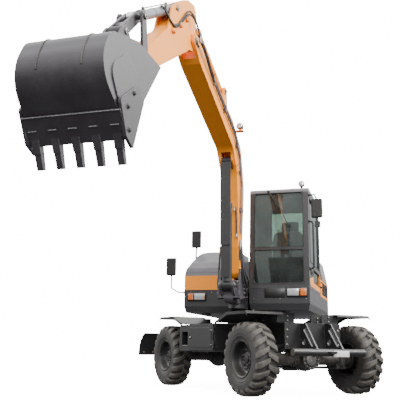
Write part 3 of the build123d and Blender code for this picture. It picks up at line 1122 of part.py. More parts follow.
def link():
    """H shaped link from the rocker to the bucket ears."""
    y0, y1 = BUCKET_ROD_EYE + SIDE_GAP, ARM_TIP_WIDTH / 2
    half = strap(LINK_TOP, LINK_FOOT, 50, 52, y0, y1)
    body = both_sides(half)
    length = distance(LINK_TOP, LINK_FOOT)
    body += laid_along(LINK_TOP, LINK_FOOT, block(length * 0.55, length * 0.75, -y0, y0, -35, 35))
    body += across(LINK_FOOT, 52, -y1, y1)
    body -= across(LINK_FOOT, PIN_RADIUS + PIN_GAP, -y1, y1)
    return body


def bucket_taper(half):
    """Wedge that holds the bucket between its sides, which close towards the heel by the taper."""
    px, pz = BUCKET_PIVOT
    near, far = half + BUCKET_TAPER * 0.3, half - BUCKET_TAPER
    wedge = Polygon((-near, -0.3 * BUCKET_DEPTH), (near, -0.3 * BUCKET_DEPTH), (far, BUCKET_DEPTH),
                    (-far, BUCKET_DEPTH), align=None)
    wedge = extrude(Plane.YZ * wedge, FAR / 2, both=True)
    return laid_along((px + 120, pz - 100), (px + 760, pz - 905), wedge)


def bucket():
    """Bucket of rolled sheet, closing towards its heel, with ears, cutting edge, side cutters and teeth."""
    px, pz = BUCKET_PIVOT
    half = BUCKET_WIDTH / 2
    # Shell points from the rear edge of the mouth round to the lip: (x, z, corner radius) from the pivot
    shell = [(120, -100, 0), (560, -75, 0), (1000, -200, 180), (1160, -520, 260), (880, -765, 300), (760, -905, 0)]
    outer = [(px + x, pz + z, r) for x, z, r in shell]
    inner = [(px + 20, pz - 115, 0), (px + 560, pz - 95, 0), (px + 985, pz - 217, 160),
             (px + 1135, pz - 512, 240), (px + 868, pz - 748, 280), (px + 680, pz - 975, 0), (px, pz - 600, 0)]
    body = side_plate(outer, -half, half) & bucket_taper(half)
    hollow = side_plate(inner, -half, half) & bucket_taper(half - BUCKET_SHEET)
    body -= hollow
    # Hinge ears
    ear_in = ARM_TIP_WIDTH / 2 + SIDE_GAP
    ear_out = ear_in + 25
    foot_x, foot_z = LINK_FOOT
    ear = [(px + 60, pz - 95, 0), (px - 70, pz - 40, 60), (px - 30, pz + 75, 60), (foot_x - 55, foot_z + 30, 50),
           (foot_x, foot_z + 72, 50), (foot_x + 65, foot_z, 50), (px + 480, pz - 85, 0)]
    body += both_sides(side_plate(ear, ear_in, ear_out))
    body += across(BUCKET_PIVOT, PIN_RADIUS, -ear_out - 5, ear_out + 5)
    body += across(LINK_FOOT, PIN_RADIUS, -ear_out - 5, ear_out + 5)
    # Cutting edge plate in front of the shell, and the tall pointed side cutters
    back, lip = (px + 880, pz - 765), (px + 760, pz - 905)
    run = distance(back, lip)
    body += laid_along(back, lip, block(-20, run + 20, -half - 8, half + 8, -16, 22))
    cutter = [(px + 500, pz - 555, 0), (px + 640, pz - 470, 30), (px + 930, pz - 690, 40),
              (px + 800, pz - 925, 20),
              (px + 675, pz - 975, 10)]
    body += both_sides(side_plate(cutter, half - 6, half + 18))
    # Reinforcing plate low on each side, behind the side cutter
    patch = [(px + 560, pz - 400, 20), (px + 760, pz - 260, 60), (px + 1020, pz - 480, 120),
             (px + 900, pz - 690, 30),
             (px + 640, pz - 500, 20)]
    plate = side_plate(patch, 0, half) & bucket_taper(half + 12)
    body += both_sides(plate - bucket_taper(half - BUCKET_SHEET / 2))
    # Each tooth: an adapter clamped over the edge, a waist and a pointed tip
    span = BUCKET_WIDTH - 120
    for i in range(TOOTH_COUNT):
        y = -span / 2 + i * span / (TOOTH_COUNT - 1)
        adapter = [(px + 850, pz - 790, 10), (px + 765, pz - 860, 10), (px + 705, pz - 965, 0),
                   (px + 752, pz - 990, 0)]
        tip = [(px + 772, pz - 940, 0), (px + 712, pz - 915, 0), (px + 655, pz - 1085, 8),
               (px + 690, pz - 1096, 8)]
        body += side_plate(adapter, y - TOOTH_WIDTH / 2, y + TOOTH_WIDTH / 2)
        body += side_plate(tip, y - 0.42 * TOOTH_WIDTH, y + 0.42 * TOOTH_WIDTH)
    return body


def turned(part):
    """Turn a piece of the upper structure to its place over the undercarriage."""
    return Rot(0, 0, SLEW_ANGLE) * part


LOWER = {
    "chassis_frame": chassis_frame, "fenders": fenders, "front_axle": front_axle, "rear_axle": rear_axle,
    "drive_line": drive_line, "steer_rod": steer_rod, "dozer_blade": dozer_blade,
    "blade_cyl_barrel": blade_cyl_barrel, "blade_cyl_rod": blade_cyl_rod,
}
UPPER = {
    "upper_frame": upper_frame, "counterweight": counterweight, "left_skirt": left_skirt,
    "right_skirt": right_skirt, "left_band": left_band, "right_band": right_band,
    "tank_cover": tank_cover, "engine_hood": engine_hood, "engine": engine, "cab_glass": cab_glass,
    "cab_door": door_frame, "door_glass": door_glass, "seat": seat, "cab_controls": cab_controls,
    "lamps": lamps, "mirrors": mirrors, "handrails": handrails, "swing_post": swing_post, "boom": boom,
    "boom_lines": boom_lines, "boom_cyl_barrel": boom_cyl_barrel, "boom_cyl_rod": boom_cyl_rod, "arm": arm,
    "arm_cyl_barrel": arm_cyl_barrel, "arm_cyl_rod": arm_cyl_rod, "bucket_cyl_barrel": bucket_cyl_barrel,
    "bucket_cyl_rod": bucket_cyl_rod, "rocker": rocker, "link": link, "bucket": bucket,
}

pieces = {name: make() for name, make in LOWER.items()}
left_door, left_knuckle = box_door(), knuckle()
pieces["box_door_left"] = left_door
pieces["box_door_right"] = mirror(left_door, Plane.XZ)
pieces["knuckle_left"] = left_knuckle
pieces["knuckle_right"] = mirror(left_knuckle, Plane.XZ)
one_tyre, one_rim = tyre(), rim()
for corner, x, side in (("front_left", FRONT_AXLE, 1), ("front_right", FRONT_AXLE, -1),
                        ("rear_left", REAR_AXLE, 1), ("rear_right", REAR_AXLE, -1)):
    pieces["tyre_" + corner] = at_wheel(one_tyre, x, side)
    pieces["rim_" + corner] = at_wheel(one_rim, x, side)
for name, make in UPPER.items():
    pieces[name] = turned(make())
for name, part in cab_panels().items():
    pieces[name] = turned(part)

# The row's origin is the middle of the whole machine's box on the ground
corners = [part.bounding_box() for part in pieces.values()]
MIDDLE_X = (min(c.min.X for c in corners) + max(c.max.X for c in corners)) / 2
MIDDLE_Y = (min(c.min.Y for c in corners) + max(c.max.Y for c in corners)) / 2
print("slew axis at", round(-MIDDLE_X, 1), round(-MIDDLE_Y, 1))

os.makedirs("parts", exist_ok=True)
for name, part in pieces.items():
    export_step(Pos(-MIDDLE_X, -MIDDLE_Y, 0) * part, "parts/" + name + ".step")
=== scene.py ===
import json
from math import atan2, copysign, cos, hypot, pi, radians, sin, sqrt, tau

import bmesh
import bpy
from mathutils import Matrix, Vector


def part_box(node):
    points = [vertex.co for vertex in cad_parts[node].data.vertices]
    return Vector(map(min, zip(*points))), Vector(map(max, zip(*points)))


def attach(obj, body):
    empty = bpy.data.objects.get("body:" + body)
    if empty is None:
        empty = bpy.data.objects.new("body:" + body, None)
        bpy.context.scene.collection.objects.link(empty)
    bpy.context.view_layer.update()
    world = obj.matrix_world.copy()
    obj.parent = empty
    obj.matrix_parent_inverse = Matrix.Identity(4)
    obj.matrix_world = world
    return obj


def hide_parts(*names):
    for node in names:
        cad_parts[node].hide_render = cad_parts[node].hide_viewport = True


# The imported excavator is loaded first. The undercarriage lies along the row's axes, and
# everything above the slew ring is turned about the ring's centre, as it stands in the yard.
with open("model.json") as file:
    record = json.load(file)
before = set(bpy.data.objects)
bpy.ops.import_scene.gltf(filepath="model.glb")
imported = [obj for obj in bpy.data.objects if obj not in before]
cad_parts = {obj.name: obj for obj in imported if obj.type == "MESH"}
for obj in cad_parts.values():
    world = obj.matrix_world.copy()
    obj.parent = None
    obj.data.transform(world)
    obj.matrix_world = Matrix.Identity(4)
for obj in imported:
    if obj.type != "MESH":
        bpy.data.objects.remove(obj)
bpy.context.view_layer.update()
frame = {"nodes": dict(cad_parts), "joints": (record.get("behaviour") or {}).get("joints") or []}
joints = {joint["name"]: joint for joint in frame["joints"]}
ring_x, ring_y = joints["slew"]["pos_m"][:2]
boom_across = -Vector(joints["boom_lift"]["axis"])
undercarriage = Matrix.Translation((ring_x, ring_y, 0))
slewed = undercarriage @ Matrix.Rotation(atan2(-boom_across.x, boom_across.y), 4, "Z")

# Pale seamless floor of a studio, rolled out flat. It looks plain white to the camera, and the
# machine stands on it on its four tyres.
FLOOR_RADIUS, FLOOR_GLOW = 60.0, 14.0
WHITE = (1.0, 1.0, 1.0, 1)


def feed(node, inputs):
    """Sets a shader node's inputs: a number or colour on the socket itself, another node's output by a link."""
    for name, value in inputs.items():
        if isinstance(value, bpy.types.NodeSocket):
            node.id_data.links.new(value, node.inputs[name])
        else:
            node.inputs[name].default_value = value


def grown(tree, kind, inputs={}, **settings):
    """Adds a shader node with its settings and inputs, and returns its outputs."""
    node = tree.nodes.new("ShaderNode" + kind)
    for name, value in settings.items():
        setattr(node, name, value)
    feed(node, inputs)
    return node.outputs


def placed(name, data):
    """Makes an object and puts it in the scene."""
    made = bpy.data.objects.new(name, data)
    bpy.context.scene.collection.objects.link(made)
    return made


sweep = bmesh.new()
bmesh.ops.create_circle(sweep, cap_ends=True, segments=96, radius=FLOOR_RADIUS)
floor_mesh = bpy.data.meshes.new("studio_floor")
sweep.to_mesh(floor_mesh)
sweep.free()
floor_paint = bpy.data.materials.new("studio_white")
floor_paint.use_nodes = True
feed(floor_paint.node_tree.nodes["Principled BSDF"], {
    "Base Color": (0.96, 0.96, 0.96, 1), "Roughness": 0.9, "Specular IOR Level": 0.1,
    "Emission Color": WHITE, "Emission Strength": FLOOR_GLOW})
floor_mesh.materials.append(floor_paint)
studio_floor = placed("studio_floor", floor_mesh)
studio_floor.visible_diffuse = False
studio_floor.visible_glossy = False

# Soft studio light: a bright dome overhead that fades below the horizon, a large key panel high
# on the right and smaller ones in front and behind. The camera stands low before the front axle.
HORIZON, BRIGHT_FROM = 0.48, 0.78
DOME_LIGHT, SEEN_LIGHT = 2.5, 16.0
studio = bpy.data.worlds.new("studio_dome")
bpy.context.scene.world = studio
studio.use_nodes = True
dome = studio.node_tree
heading = grown(dome, "TexCoord")["Generated"]
upward = grown(dome, "SeparateXYZ", {"Vector": heading})["Z"]
height = grown(dome, "MapRange", {"Value": upward, "From Min": -1.0})["Result"]
fade = grown(dome, "ValToRGB", {"Fac": height})["Color"]
horizon, overhead = fade.node.color_ramp.elements
horizon.position, horizon.color = HORIZON, (0.1, 0.1, 0.105, 1)
overhead.position, overhead.color = BRIGHT_FROM, WHITE
lit = dome.nodes["Background"]
feed(lit, {"Color": fade, "Strength": DOME_LIGHT})
seen = grown(dome, "Background", {"Color": WHITE, "Strength": SEEN_LIGHT})["Background"]
by_camera = grown(dome, "LightPath")["Is Camera Ray"]
choose = grown(dome, "MixShader", {"Fac": by_camera, 1: lit.outputs["Background"], 2: seen})["Shader"]
feed(dome.nodes["World Output"], {"Surface": choose})

for name, place, aim, size, power in (("key_panel", (5.5, 7.5, 8.0), (0.0, 0.0, 1.8), (5.0, 5.0), 1900),
                                      ("front_panel", (9.5, -3.0, 6.0), (0.0, 0.5, 1.8), (6.0, 4.0), 700),
                                      ("back_panel", (-7.0, -4.0, 7.0), (0.0, 0.0, 2.0), (5.0, 4.0), 800)):
    panel = bpy.data.lights.new(name, "AREA")
    panel.shape = "RECTANGLE"
    panel.size, panel.size_y = size
    panel.energy = power
    stand = placed(name, panel)
    stand.location = place
    stand.rotation_euler = (Vector(aim) - Vector(place)).to_track_quat("-Z", "Y").to_euler()

camera = bpy.data.cameras.new("camera")
camera.lens = 56.889
camera.sensor_width = 36.0
eye = placed("camera", camera)
yaw, pitch, roll = radians(153.227), radians(13.009), radians(0.924)
ahead = Vector((cos(pitch) * cos(yaw), cos(pitch) * sin(yaw), sin(pitch)))
level = Vector((sin(yaw), -cos(yaw), 0.0))
over = level.cross(ahead)
right = cos(roll) * level + sin(roll) * over
above = -sin(roll) * level + cos(roll) * over
eye.matrix_world = Matrix((right, above, -ahead)).transposed().to_4x4()
eye.location = (ring_x + 8.8933, ring_y - 5.5493, 0.6599)
bpy.context.scene.camera = eye

# Tyres: wide black rubber with deep slanted bar lugs that wrap over the shoulders. The lugs'
# faces are dusty from the yard. Each tyre is moulded in one piece and sits on its rim's beads.
CORNERS = ("front_left", "front_right", "rear_left", "rear_right")
tyre_radius = 0.5
lugs_each_side = 20
lug_width_middle, lug_width_shoulder, lug_flare = 0.062, 0.09, 0.016
lug_slant = 0.215
crown_line = ((0.0, -0.012, 0.498), (0.35, 0.06, 0.4975), (0.62, 0.116, 0.493), (0.78, 0.15, 0.476),
              (0.9, 0.1655, 0.44), (1.0, 0.165, 0.395))
carcass_half = (
    (0.1335, 0.2375), (0.1335, 0.257), (0.14, 0.26), (0.144, 0.268), (0.1435, 0.276), (0.15, 0.286),
    (0.156, 0.302), (0.159, 0.304), (0.1592, 0.309), (0.1575, 0.311), (0.162, 0.34), (0.164, 0.346),
    (0.1642, 0.35), (0.1632, 0.354), (0.165, 0.38), (0.1655, 0.4), (0.16, 0.426), (0.145, 0.448),
    (0.115, 0.46), (0.05, 0.465))


def weathered(name, colour, roughness, metal=0.0, coat=0.0, dust=0.25, soil=(0.35, 0.32, 0.29), patch=2.2,
              grain=60.0, bump=0.04, lying_soil=0.0, rub=0.0, bare=(0.3, 0.29, 0.28), edge=0.004):
    """Paint, plastic, rubber or steel with soiled patches, fine grain, dust on upward faces and rubbed edges."""
    stuff = bpy.data.materials.new(name)
    stuff.use_nodes = True
    tree = stuff.node_tree
    where = grown(tree, "TexCoord")["Object"]
    patches = grown(tree, "TexNoise", {"Vector": where, "Scale": patch, "Detail": 7.0, "Roughness": 0.68})["Fac"]
    amount = grown(tree, "MapRange", {"Value": patches, "From Min": 0.38, "From Max": 0.78, "To Max": dust})["Result"]
    if lying_soil:
        upward = grown(tree, "SeparateXYZ", {"Vector": grown(tree, "NewGeometry")["Normal"]})["Z"]
        lying = grown(tree, "MapRange", {"Value": upward, "From Min": 0.25, "To Max": lying_soil})["Result"]
        amount = grown(tree, "Math", {0: lying, 1: amount}, operation="ADD", use_clamp=True)["Value"]
    soiled = {"Factor": amount, "A": (*colour, 1), "B": (*soil, 1)}
    surface = grown(tree, "Mix", soiled, data_type="RGBA")["Result"]
    soft = grown(tree, "Bevel", {"Radius": edge}, samples=4)["Normal"]
    if rub:
        flat = grown(tree, "NewGeometry")["Normal"]
        turned = grown(tree, "VectorMath", {0: flat, 1: soft}, operation="DOT_PRODUCT")["Value"]
        at_edge = {"Value": turned, "From Min": 0.985, "From Max": 0.9, "To Max": rub}
        scuffs = grown(tree, "TexNoise", {"Vector": where, "Scale": 9.0, "Detail": 8.0})["Fac"]
        uneven = {0: grown(tree, "MapRange", at_edge)["Result"], 1: scuffs}
        worn = {"Factor": grown(tree, "Math", uneven, operation="MULTIPLY")["Value"], "A": surface,
                "B": (*bare, 1)}
        surface = grown(tree, "Mix", worn, data_type="RGBA")["Result"]
    fine = grown(tree, "TexNoise", {"Vector": where, "Scale": grain, "Detail": 3.0})["Fac"]
    smoothest, roughest = max(roughness - 0.08, 0.04), min(roughness + 0.14, 1.0)
    gloss = grown(tree, "MapRange", {"Value": patches, "To Min": smoothest, "To Max": roughest})["Result"]
    relief = grown(tree, "Bump", {"Strength": bump, "Distance": 0.01, "Height": fine, "Normal": soft})["Normal"]
    feed(tree.nodes["Principled BSDF"], {"Base Color": surface, "Roughness": gloss, "Normal": relief,
                                         "Metallic": metal, "Coat Weight": coat, "Coat Roughness": 0.12})
    return stuff


def mounted(name, data, body):
    """Makes a piece of a mesh or a curve. It rides on a body."""
    piece = placed(name, data)
    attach(piece, body)
    return piece


def settle(shape, name, body, finish, turn=slewed, crease=32):
    """Turns a finished form into a piece that rides on a body, slewed with the upper half unless said otherwise."""
    bmesh.ops.transform(shape, matrix=turn, verts=shape.verts)
    bmesh.ops.recalc_face_normals(shape, faces=shape.faces)
    for face in shape.faces:
        face.smooth = True
    for edge in shape.edges:
        edge.smooth = len(edge.link_faces) != 2 or edge.calc_face_angle(0) < radians(crease)
    mesh = bpy.data.meshes.new(name)
    shape.to_mesh(mesh)
    shape.free()
    for stuff in finish if isinstance(finish, tuple) else (finish,):
        mesh.materials.append(stuff)
    return mounted(name, mesh, body)


def merged(shape, other, index):
    """Adds a finished form to another, with the number of its material, and lets go of it."""
    for face in other.faces:
        face.material_index = index
    loose = bpy.data.meshes.new("loose")
    other.to_mesh(loose)
    other.free()
    shape.from_mesh(loose)
    bpy.data.meshes.remove(loose)


def lathe(shape, outline, steps):
    """Spins a closed outline of (across, radius) points about the Y axis."""
    line = [shape.verts.new((0.0, across, radius)) for across, radius in outline]
    edges = [shape.edges.new((a, b)) for a, b in zip(line, line[1:] + line[:1])]
    bmesh.ops.spin(shape, geom=line + edges, cent=(0, 0, 0), axis=(0, 1, 0), angle=tau, steps=steps,
                   use_merge=True)
    bmesh.ops.remove_doubles(shape, verts=shape.verts, dist=1e-6)


def on_crown(share):
    """Place on the tyre's outer line, from the middle (0) over the shoulder (1): across, radius."""
    for (a, ya, ra), (b, yb, rb) in zip(crown_line, crown_line[1:]):
        if share <= b:
            t = (share - a) / (b - a)
            return ya + t * (yb - ya), ra + t * (rb - ra)


def bar_lug(hand, turned_by):
    """One bar lug, thick at the shoulder and slanted back towards the middle of the tread."""
    lug = bmesh.new()
    bmesh.ops.create_cube(lug, size=1.0)
    long_edges = [e for e in lug.edges if abs(e.verts[0].co.y - e.verts[1].co.y) > 0.5]
    bmesh.ops.subdivide_edges(lug, edges=long_edges, cuts=7, use_grid_fill=True)
    bmesh.ops.bevel(lug, geom=[e for e in lug.edges if e.calc_face_angle(0) > 1.0], offset=0.08,
                    affect="EDGES", segments=2, profile=0.5, material=-1, clamp_overlap=True)
    for vert in lug.verts:
        share = min(max(vert.co.y + 0.5, 0.0), 1.0)
        sunk = 0.5 - vert.co.z
        across, outer = on_crown(share)
        on_side = max(share - 0.75, 0.0) * 4.0
        width = lug_width_middle + (lug_width_shoulder - lug_width_middle) * share + lug_flare * sunk
        around = lug_slant * share ** 0.85 + vert.co.x * width / tyre_radius + turned_by
        radius = outer - sunk * (0.042 - 0.03 * on_side)
        across -= sunk * (0.006 + 0.028 * on_side)
        vert.co = Vector((radius * sin(around), hand * across, radius * cos(around)))
    return lug


sidewall_rubber = weathered(
    "tyre_sidewall", (0.022, 0.021, 0.02), 0.72, dust=0.4, soil=(0.085, 0.077, 0.07), patch=5.0,
    grain=180.0, bump=0.1)
tread_rubber = weathered(
    "tyre_tread", (0.052, 0.048, 0.043), 0.85, dust=0.75, soil=(0.15, 0.134, 0.113), patch=7.0,
    grain=140.0, bump=0.18)
for corner in CORNERS:
    tyre = bmesh.new()
    lathe(tyre, [(-y, r) for y, r in reversed(carcass_half)] + list(carcass_half), 120)
    for i in range(lugs_each_side):
        for side, stagger in ((-1, 0.0), (1, 0.5)):
            merged(tyre, bar_lug(side, (i + stagger) * tau / lugs_each_side), 1)
    low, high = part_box("tyre_" + corner)
    piece = settle(tyre, "tyre_tread_" + corner, "wheel_" + corner, (sidewall_rubber, tread_rubber),
                   Matrix.Translation((Vector(low) + Vector(high)) / 2), 38)
    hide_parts("tyre_" + corner)

# Rims: pressed steel bands with a lock ring, welded round a deep dished disc and painted black.
# Each is held to its hub by ten nuts, and the planetary hub has a bolted cap in the middle.
FORE, LEFT, UP = Vector((1, 0, 0)), Vector((0, 1, 0)), Vector((0, 0, 1))
rim_line = (
    (0.146, 0.25), (0.1458, 0.243), (0.138, 0.2385), (0.134, 0.229), (0.118, 0.223), (0.062, 0.218),
    (0.033, 0.209), (0.018, 0.196), (0.011, 0.182), (0.006, 0.17), (0.006, 0.13), (0.013, 0.124),
    (0.013, 0.0603), (-0.129, 0.0603), (-0.129, 0.13), (-0.01, 0.13), (-0.009, 0.172), (-0.002, 0.198),
    (0.006, 0.21), (-0.03, 0.214), (-0.118, 0.223), (-0.134, 0.229), (-0.138, 0.2385), (-0.1458, 0.243),
    (-0.146, 0.25), (-0.14, 0.2505), (-0.132, 0.2366), (-0.08, 0.2345), (-0.05, 0.226), (0.05, 0.226),
    (0.08, 0.2345), (0.132, 0.2366), (0.14, 0.2505))
disc_face, cap_face = 0.006, 0.048
nut_circle, nut_size, nut_count = 0.151, 0.0165, 10


def broken(shape, edges, offset):
    """Breaks edges with a small round."""
    bmesh.ops.bevel(shape, geom=list(edges), offset=offset, affect="EDGES", segments=2, profile=0.5, material=-1)


def round_bar(shape, start, end, radius, steps=24, edge=0.0):
    """Adds a round or six-sided bar from one point to another, with its end edges broken."""
    start, end = Vector(start), Vector(end)
    run = end - start
    place = Matrix.Translation((start + end) / 2) @ run.to_track_quat("Z", "Y").to_matrix().to_4x4()
    made = bmesh.ops.create_cone(shape, cap_ends=True, segments=steps, radius1=radius, radius2=radius,
                                 depth=run.length, matrix=place)
    if edge:
        caps = {f for v in made["verts"] for f in v.link_faces if len(f.verts) == steps}
        broken(shape, {e for f in caps for e in f.edges}, edge)


def peg(shape, foot, out, length, radius, steps=24, edge=0.0):
    """Adds a round bar that stands out from its foot."""
    round_bar(shape, foot, Vector(foot) + length * Vector(out), radius, steps, edge)


def bolts(shape, spots, out, size):
    """Adds hexagon heads on their washers, standing out from a face."""
    for spot in spots:
        foot, up = Vector(spot), Vector(out).normalized()
        peg(shape, foot - 0.2 * size * up, up, 0.42 * size, 1.35 * size, 18)
        peg(shape, foot, up, 0.9 * size, size, 6, 0.1 * size)


def on_circle(centre, out, radius, count, first=0.0):
    """Even places on a circle round an axis along X, Y or Z."""
    u, v = (axis for axis in (FORE, LEFT, UP) if not axis.dot(Vector(out)))
    turns = (tau * (i + first) / count for i in range(count))
    return [Vector(centre) + radius * (cos(a) * u + sin(a) * v) for a in turns]


rim_paint = weathered(
    "rim_black", (0.01, 0.01, 0.01), 0.45, coat=0.1, dust=0.4, soil=(0.055, 0.047, 0.04), patch=6.0,
    grain=220.0, bump=0.03, lying_soil=0.25, rub=0.5)
nut_steel = weathered(
    "nut_steel", (0.24, 0.235, 0.23), 0.42, metal=0.8, dust=0.6, soil=(0.16, 0.12, 0.09), patch=20.0,
    grain=200.0)
for corner in CORNERS:
    rim, fasteners = bmesh.new(), bmesh.new()
    lathe(rim, rim_line, 96)
    peg(rim, (0, 0.01, 0), LEFT, cap_face - 0.01, 0.093, 64, 0.004)
    peg(rim, (0, 0.046, 0), LEFT, 0.018, 0.052, 48, 0.006)
    nuts = on_circle((0, disc_face, 0), LEFT, nut_circle, nut_count, 0.5)
    bolts(fasteners, nuts, LEFT, nut_size)
    for spot in nuts:
        peg(fasteners, spot, LEFT, 0.03, 0.0085, 16, 0.001)
    bolts(fasteners, on_circle((0, cap_face, 0), LEFT, 0.078, 8), LEFT, 0.0065)
    round_bar(fasteners, (0.0, 0.03, 0.205), (0.0, 0.075, 0.196), 0.006, 14, 0.001)
    merged(rim, fasteners, 1)
    hub = Matrix.Translation(joints["wheel_spin_" + corner]["pos_m"])
    facing = Matrix.Rotation(0.0 if corner.endswith("left") else pi, 4, "Z")
    piece = settle(rim, "rim_disc_" + corner, "wheel_" + corner, (rim_paint, nut_steel), hub @ facing, 34)
    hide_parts("rim_" + corner)

# Undercarriage frame: welded box frame with the slew ring's seat, a storage box with a step on
# each side, the front plate and two gussets that carry the bumper tube. All painted black; the black
# and its dust are darkened further as painted shade for the shadow under the upper body.
box_roof, step_top, box_side = 0.99, 0.6575, 1.0495


def dress(finish, *names):
    """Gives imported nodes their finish."""
    for name in names:
        for spot in frame["nodes"][name].material_slots:
            spot.material = finish


def slab(shape, low, high, edge, turn=Matrix()):
    """Adds a bar or plate between two opposite corners, its edges broken."""
    low, high = (Vector(map(pick, low, high)) for pick in (min, max))
    place = Matrix.Translation((low + high) / 2) @ Matrix.Diagonal((*(high - low), 1.0))
    made = bmesh.ops.create_cube(shape, size=1.0, matrix=turn @ place)
    if edge:
        broken(shape, {e for v in made["verts"] for e in v.link_edges}, edge)


def weld(shape, start, end, radius):
    """Adds a weld bead with its ripples along a seam."""
    start, end = Vector(start), Vector(end)
    count = max(int((end - start).length / (1.3 * radius)), 2)
    lie = (end - start).to_track_quat("Z", "Y").to_matrix().to_4x4() @ Matrix.Diagonal((1.0, 1.0, 0.9, 1.0))
    for i in range(count):
        spot = Matrix.Translation(start.lerp(end, (i + 0.5) / count))
        bmesh.ops.create_icosphere(shape, subdivisions=1, radius=radius, matrix=spot @ lie)


# Black paint whose colour and dust are darker than the paint's own: painted shade for the shadow under the body.
frame_black_and_shade = weathered(
    "frame_black_and_shade", (0.01, 0.01, 0.0105), 0.45, coat=0.1, dust=0.25, soil=(0.04, 0.037, 0.034), patch=3.5,
    grain=90.0, bump=0.05, lying_soil=0.5, rub=0.7, bare=(0.2, 0.19, 0.18))
bare_bolt = weathered(
    "zinc_bolt", (0.34, 0.33, 0.31), 0.38, metal=0.9, dust=0.5, soil=(0.15, 0.12, 0.1), patch=25.0,
    grain=200.0)
plate_white = weathered(
    "blank_plate_white", (0.66, 0.66, 0.64), 0.45, coat=0.2, dust=0.3, soil=(0.35, 0.32, 0.28), patch=9.0)
step_steel = weathered(
    "step_tread_steel", (0.1, 0.098, 0.095), 0.5, metal=0.6, dust=0.6, soil=(0.22, 0.19, 0.16), patch=8.0,
    lying_soil=0.3, rub=0.8)
dress(frame_black_and_shade, "chassis_frame", "fenders", "box_door_left", "box_door_right")

fixings, seams, tread = bmesh.new(), bmesh.new(), bmesh.new()
bolts(fixings, on_circle((0, 0, 1.06), UP, 0.45, 28, 0.5), UP, 0.012)
for side in (-1, 1):
    bolts(fixings, [(x, side * 0.37, box_roof) for x in (-0.6, -0.3, 0.0, 0.3, 0.48)], UP, 0.01)
    bolts(fixings, [(1.5, side * 0.44, z) for z in (0.7, 0.8, 0.9)], FORE, 0.011)
    bolts(fixings, [(end * x, side * 0.95, 1.14) for x in (0.8, 1.03, 1.3, 1.44) for end in (-1, 1)], UP, 0.009)
    bolts(fixings, [(x, side * 0.36, z) for x in (1.138, 1.398) for z in (1.03, 1.09)], FORE, 0.01)
    peg(fixings, (1.85, side * 0.5985, 0.6), side * LEFT, 0.0015, 0.047, 32)
    for y in (0.204, 0.228):
        weld(seams, (1.502, side * y, 0.66), (1.502, side * y, 0.975), 0.005)
    weld(seams, (1.48, side * 0.302, 0.72), (1.48, side * 0.302, 0.98), 0.005)
    weld(seams, (-0.66, side * 0.302, 0.595), (0.5, side * 0.302, 0.595), 0.005)
    for x in (-0.68, 0.54):
        weld(seams, (x, side * 0.32, 0.992), (x, side * 1.03, 0.992), 0.004)
    for i in range(22):
        for k in range(11):
            spot = Matrix.Translation((-0.655 + 0.054 * i, side * (0.43 + 0.054 * k), box_roof + 0.001))
            turn = Matrix.Rotation(radians(45 if (i + k) % 2 else -45), 4, "Z")
            bmesh.ops.create_cone(tread, cap_ends=True, segments=6, radius1=0.016, radius2=0.006, depth=0.005,
                                  matrix=spot @ turn @ Matrix.Diagonal((1.0, 0.32, 1.0, 1.0)))
    slab(tread, (-0.585, side * box_side - 0.006, 0.655), (-0.385, side * box_side + 0.006, 0.672), 0.002)
    for x in (-0.57, -0.53, -0.49, -0.45, -0.41):
        for y in (0.94, 1.0):
            peg(tread, (x, side * y, step_top), UP, 0.0065, 0.012, 12, 0.001)
settle(fixings, "frame_bolts", "chassis", bare_bolt, undercarriage)
settle(seams, "frame_welds", "chassis", frame_black_and_shade, undercarriage)
settle(tread, "step_treads", "chassis", step_steel, undercarriage)

plate, screws = bmesh.new(), bmesh.new()
slab(plate, (1.899, 0.035, 0.545), (1.903, 0.3, 0.625), 0.001)
for y in (0.055, 0.28):
    bolts(screws, [(1.903, y, 0.585)], FORE, 0.006)
    slab(screws, (1.88, y - 0.012, 0.56), (1.8985, y + 0.012, 0.61), 0.001)
merged(plate, screws, 1)
settle(plate, "blank_front_plate", "chassis", (plate_white, bare_bolt), undercarriage)

for name, side in (("box_door_left", 1), ("box_door_right", -1)):
    latch = bmesh.new()
    peg(latch, (-0.24, side * 1.07, 0.79), side * LEFT, 0.01, 0.021, 28, 0.002)
    slab(latch, (-0.262, side * 1.082 - 0.004, 0.783), (-0.218, side * 1.082 + 0.003, 0.797), 0.002)
    bolts(latch, [(x, side * 1.0775, z) for z in (0.68, 0.89) for x in (0.452, 0.478)], side * LEFT, 0.006)
    settle(latch, "latch_" + name, name, bare_bolt, undercarriage)

# Axles, steering and drive line: cast housings in black paint with bolted covers and drain
# plugs. The rear one is rigid, the front one has steered knuckles moved by one cross cylinder.
axle_x, axle_z, cover_reach = 1.275, 0.5, 0.175
cast_black = weathered(
    "cast_black", (0.01, 0.01, 0.01), 0.62, coat=0.05, dust=0.5, soil=(0.16, 0.14, 0.12), patch=6.0,
    grain=140.0, bump=0.16, lying_soil=0.4, rub=0.5, edge=0.006)
polished_rod = weathered(
    "polished_rod", (0.62, 0.62, 0.63), 0.16, metal=1.0, dust=0.1, soil=(0.3, 0.28, 0.25), patch=8.0,
    grain=300.0, bump=0.01)
dress(cast_black, "front_axle", "rear_axle", "knuckle_left", "knuckle_right", "drive_line")
dress(polished_rod, "steer_rod")
axle_bolts = bmesh.new()
for end in (1, -1):
    out, face_x = end * FORE, end * (axle_x + cover_reach)
    bolts(axle_bolts, on_circle((face_x, 0, axle_z), out, 0.12, 14), out, 0.009)
    bolts(axle_bolts, [(face_x, 0.0, 0.47)], out, 0.013)
    peg(axle_bolts, (face_x, 0.0, axle_z), out, 0.006, 0.085, 40, 0.003)
    for side in (-LEFT, LEFT):
        bolts(axle_bolts, on_circle((end * axle_x, side.y * 0.2, axle_z), side, 0.098, 10), side, 0.008)
for side in (-1, 1):
    for z, out in ((0.634, UP), (0.366, -UP)):
        bolts(axle_bolts, on_circle((axle_x, side * 0.68, z), out, 0.04, 4, 0.5), out, 0.008)
settle(axle_bolts, "axle_bolts", "chassis", bare_bolt, undercarriage)


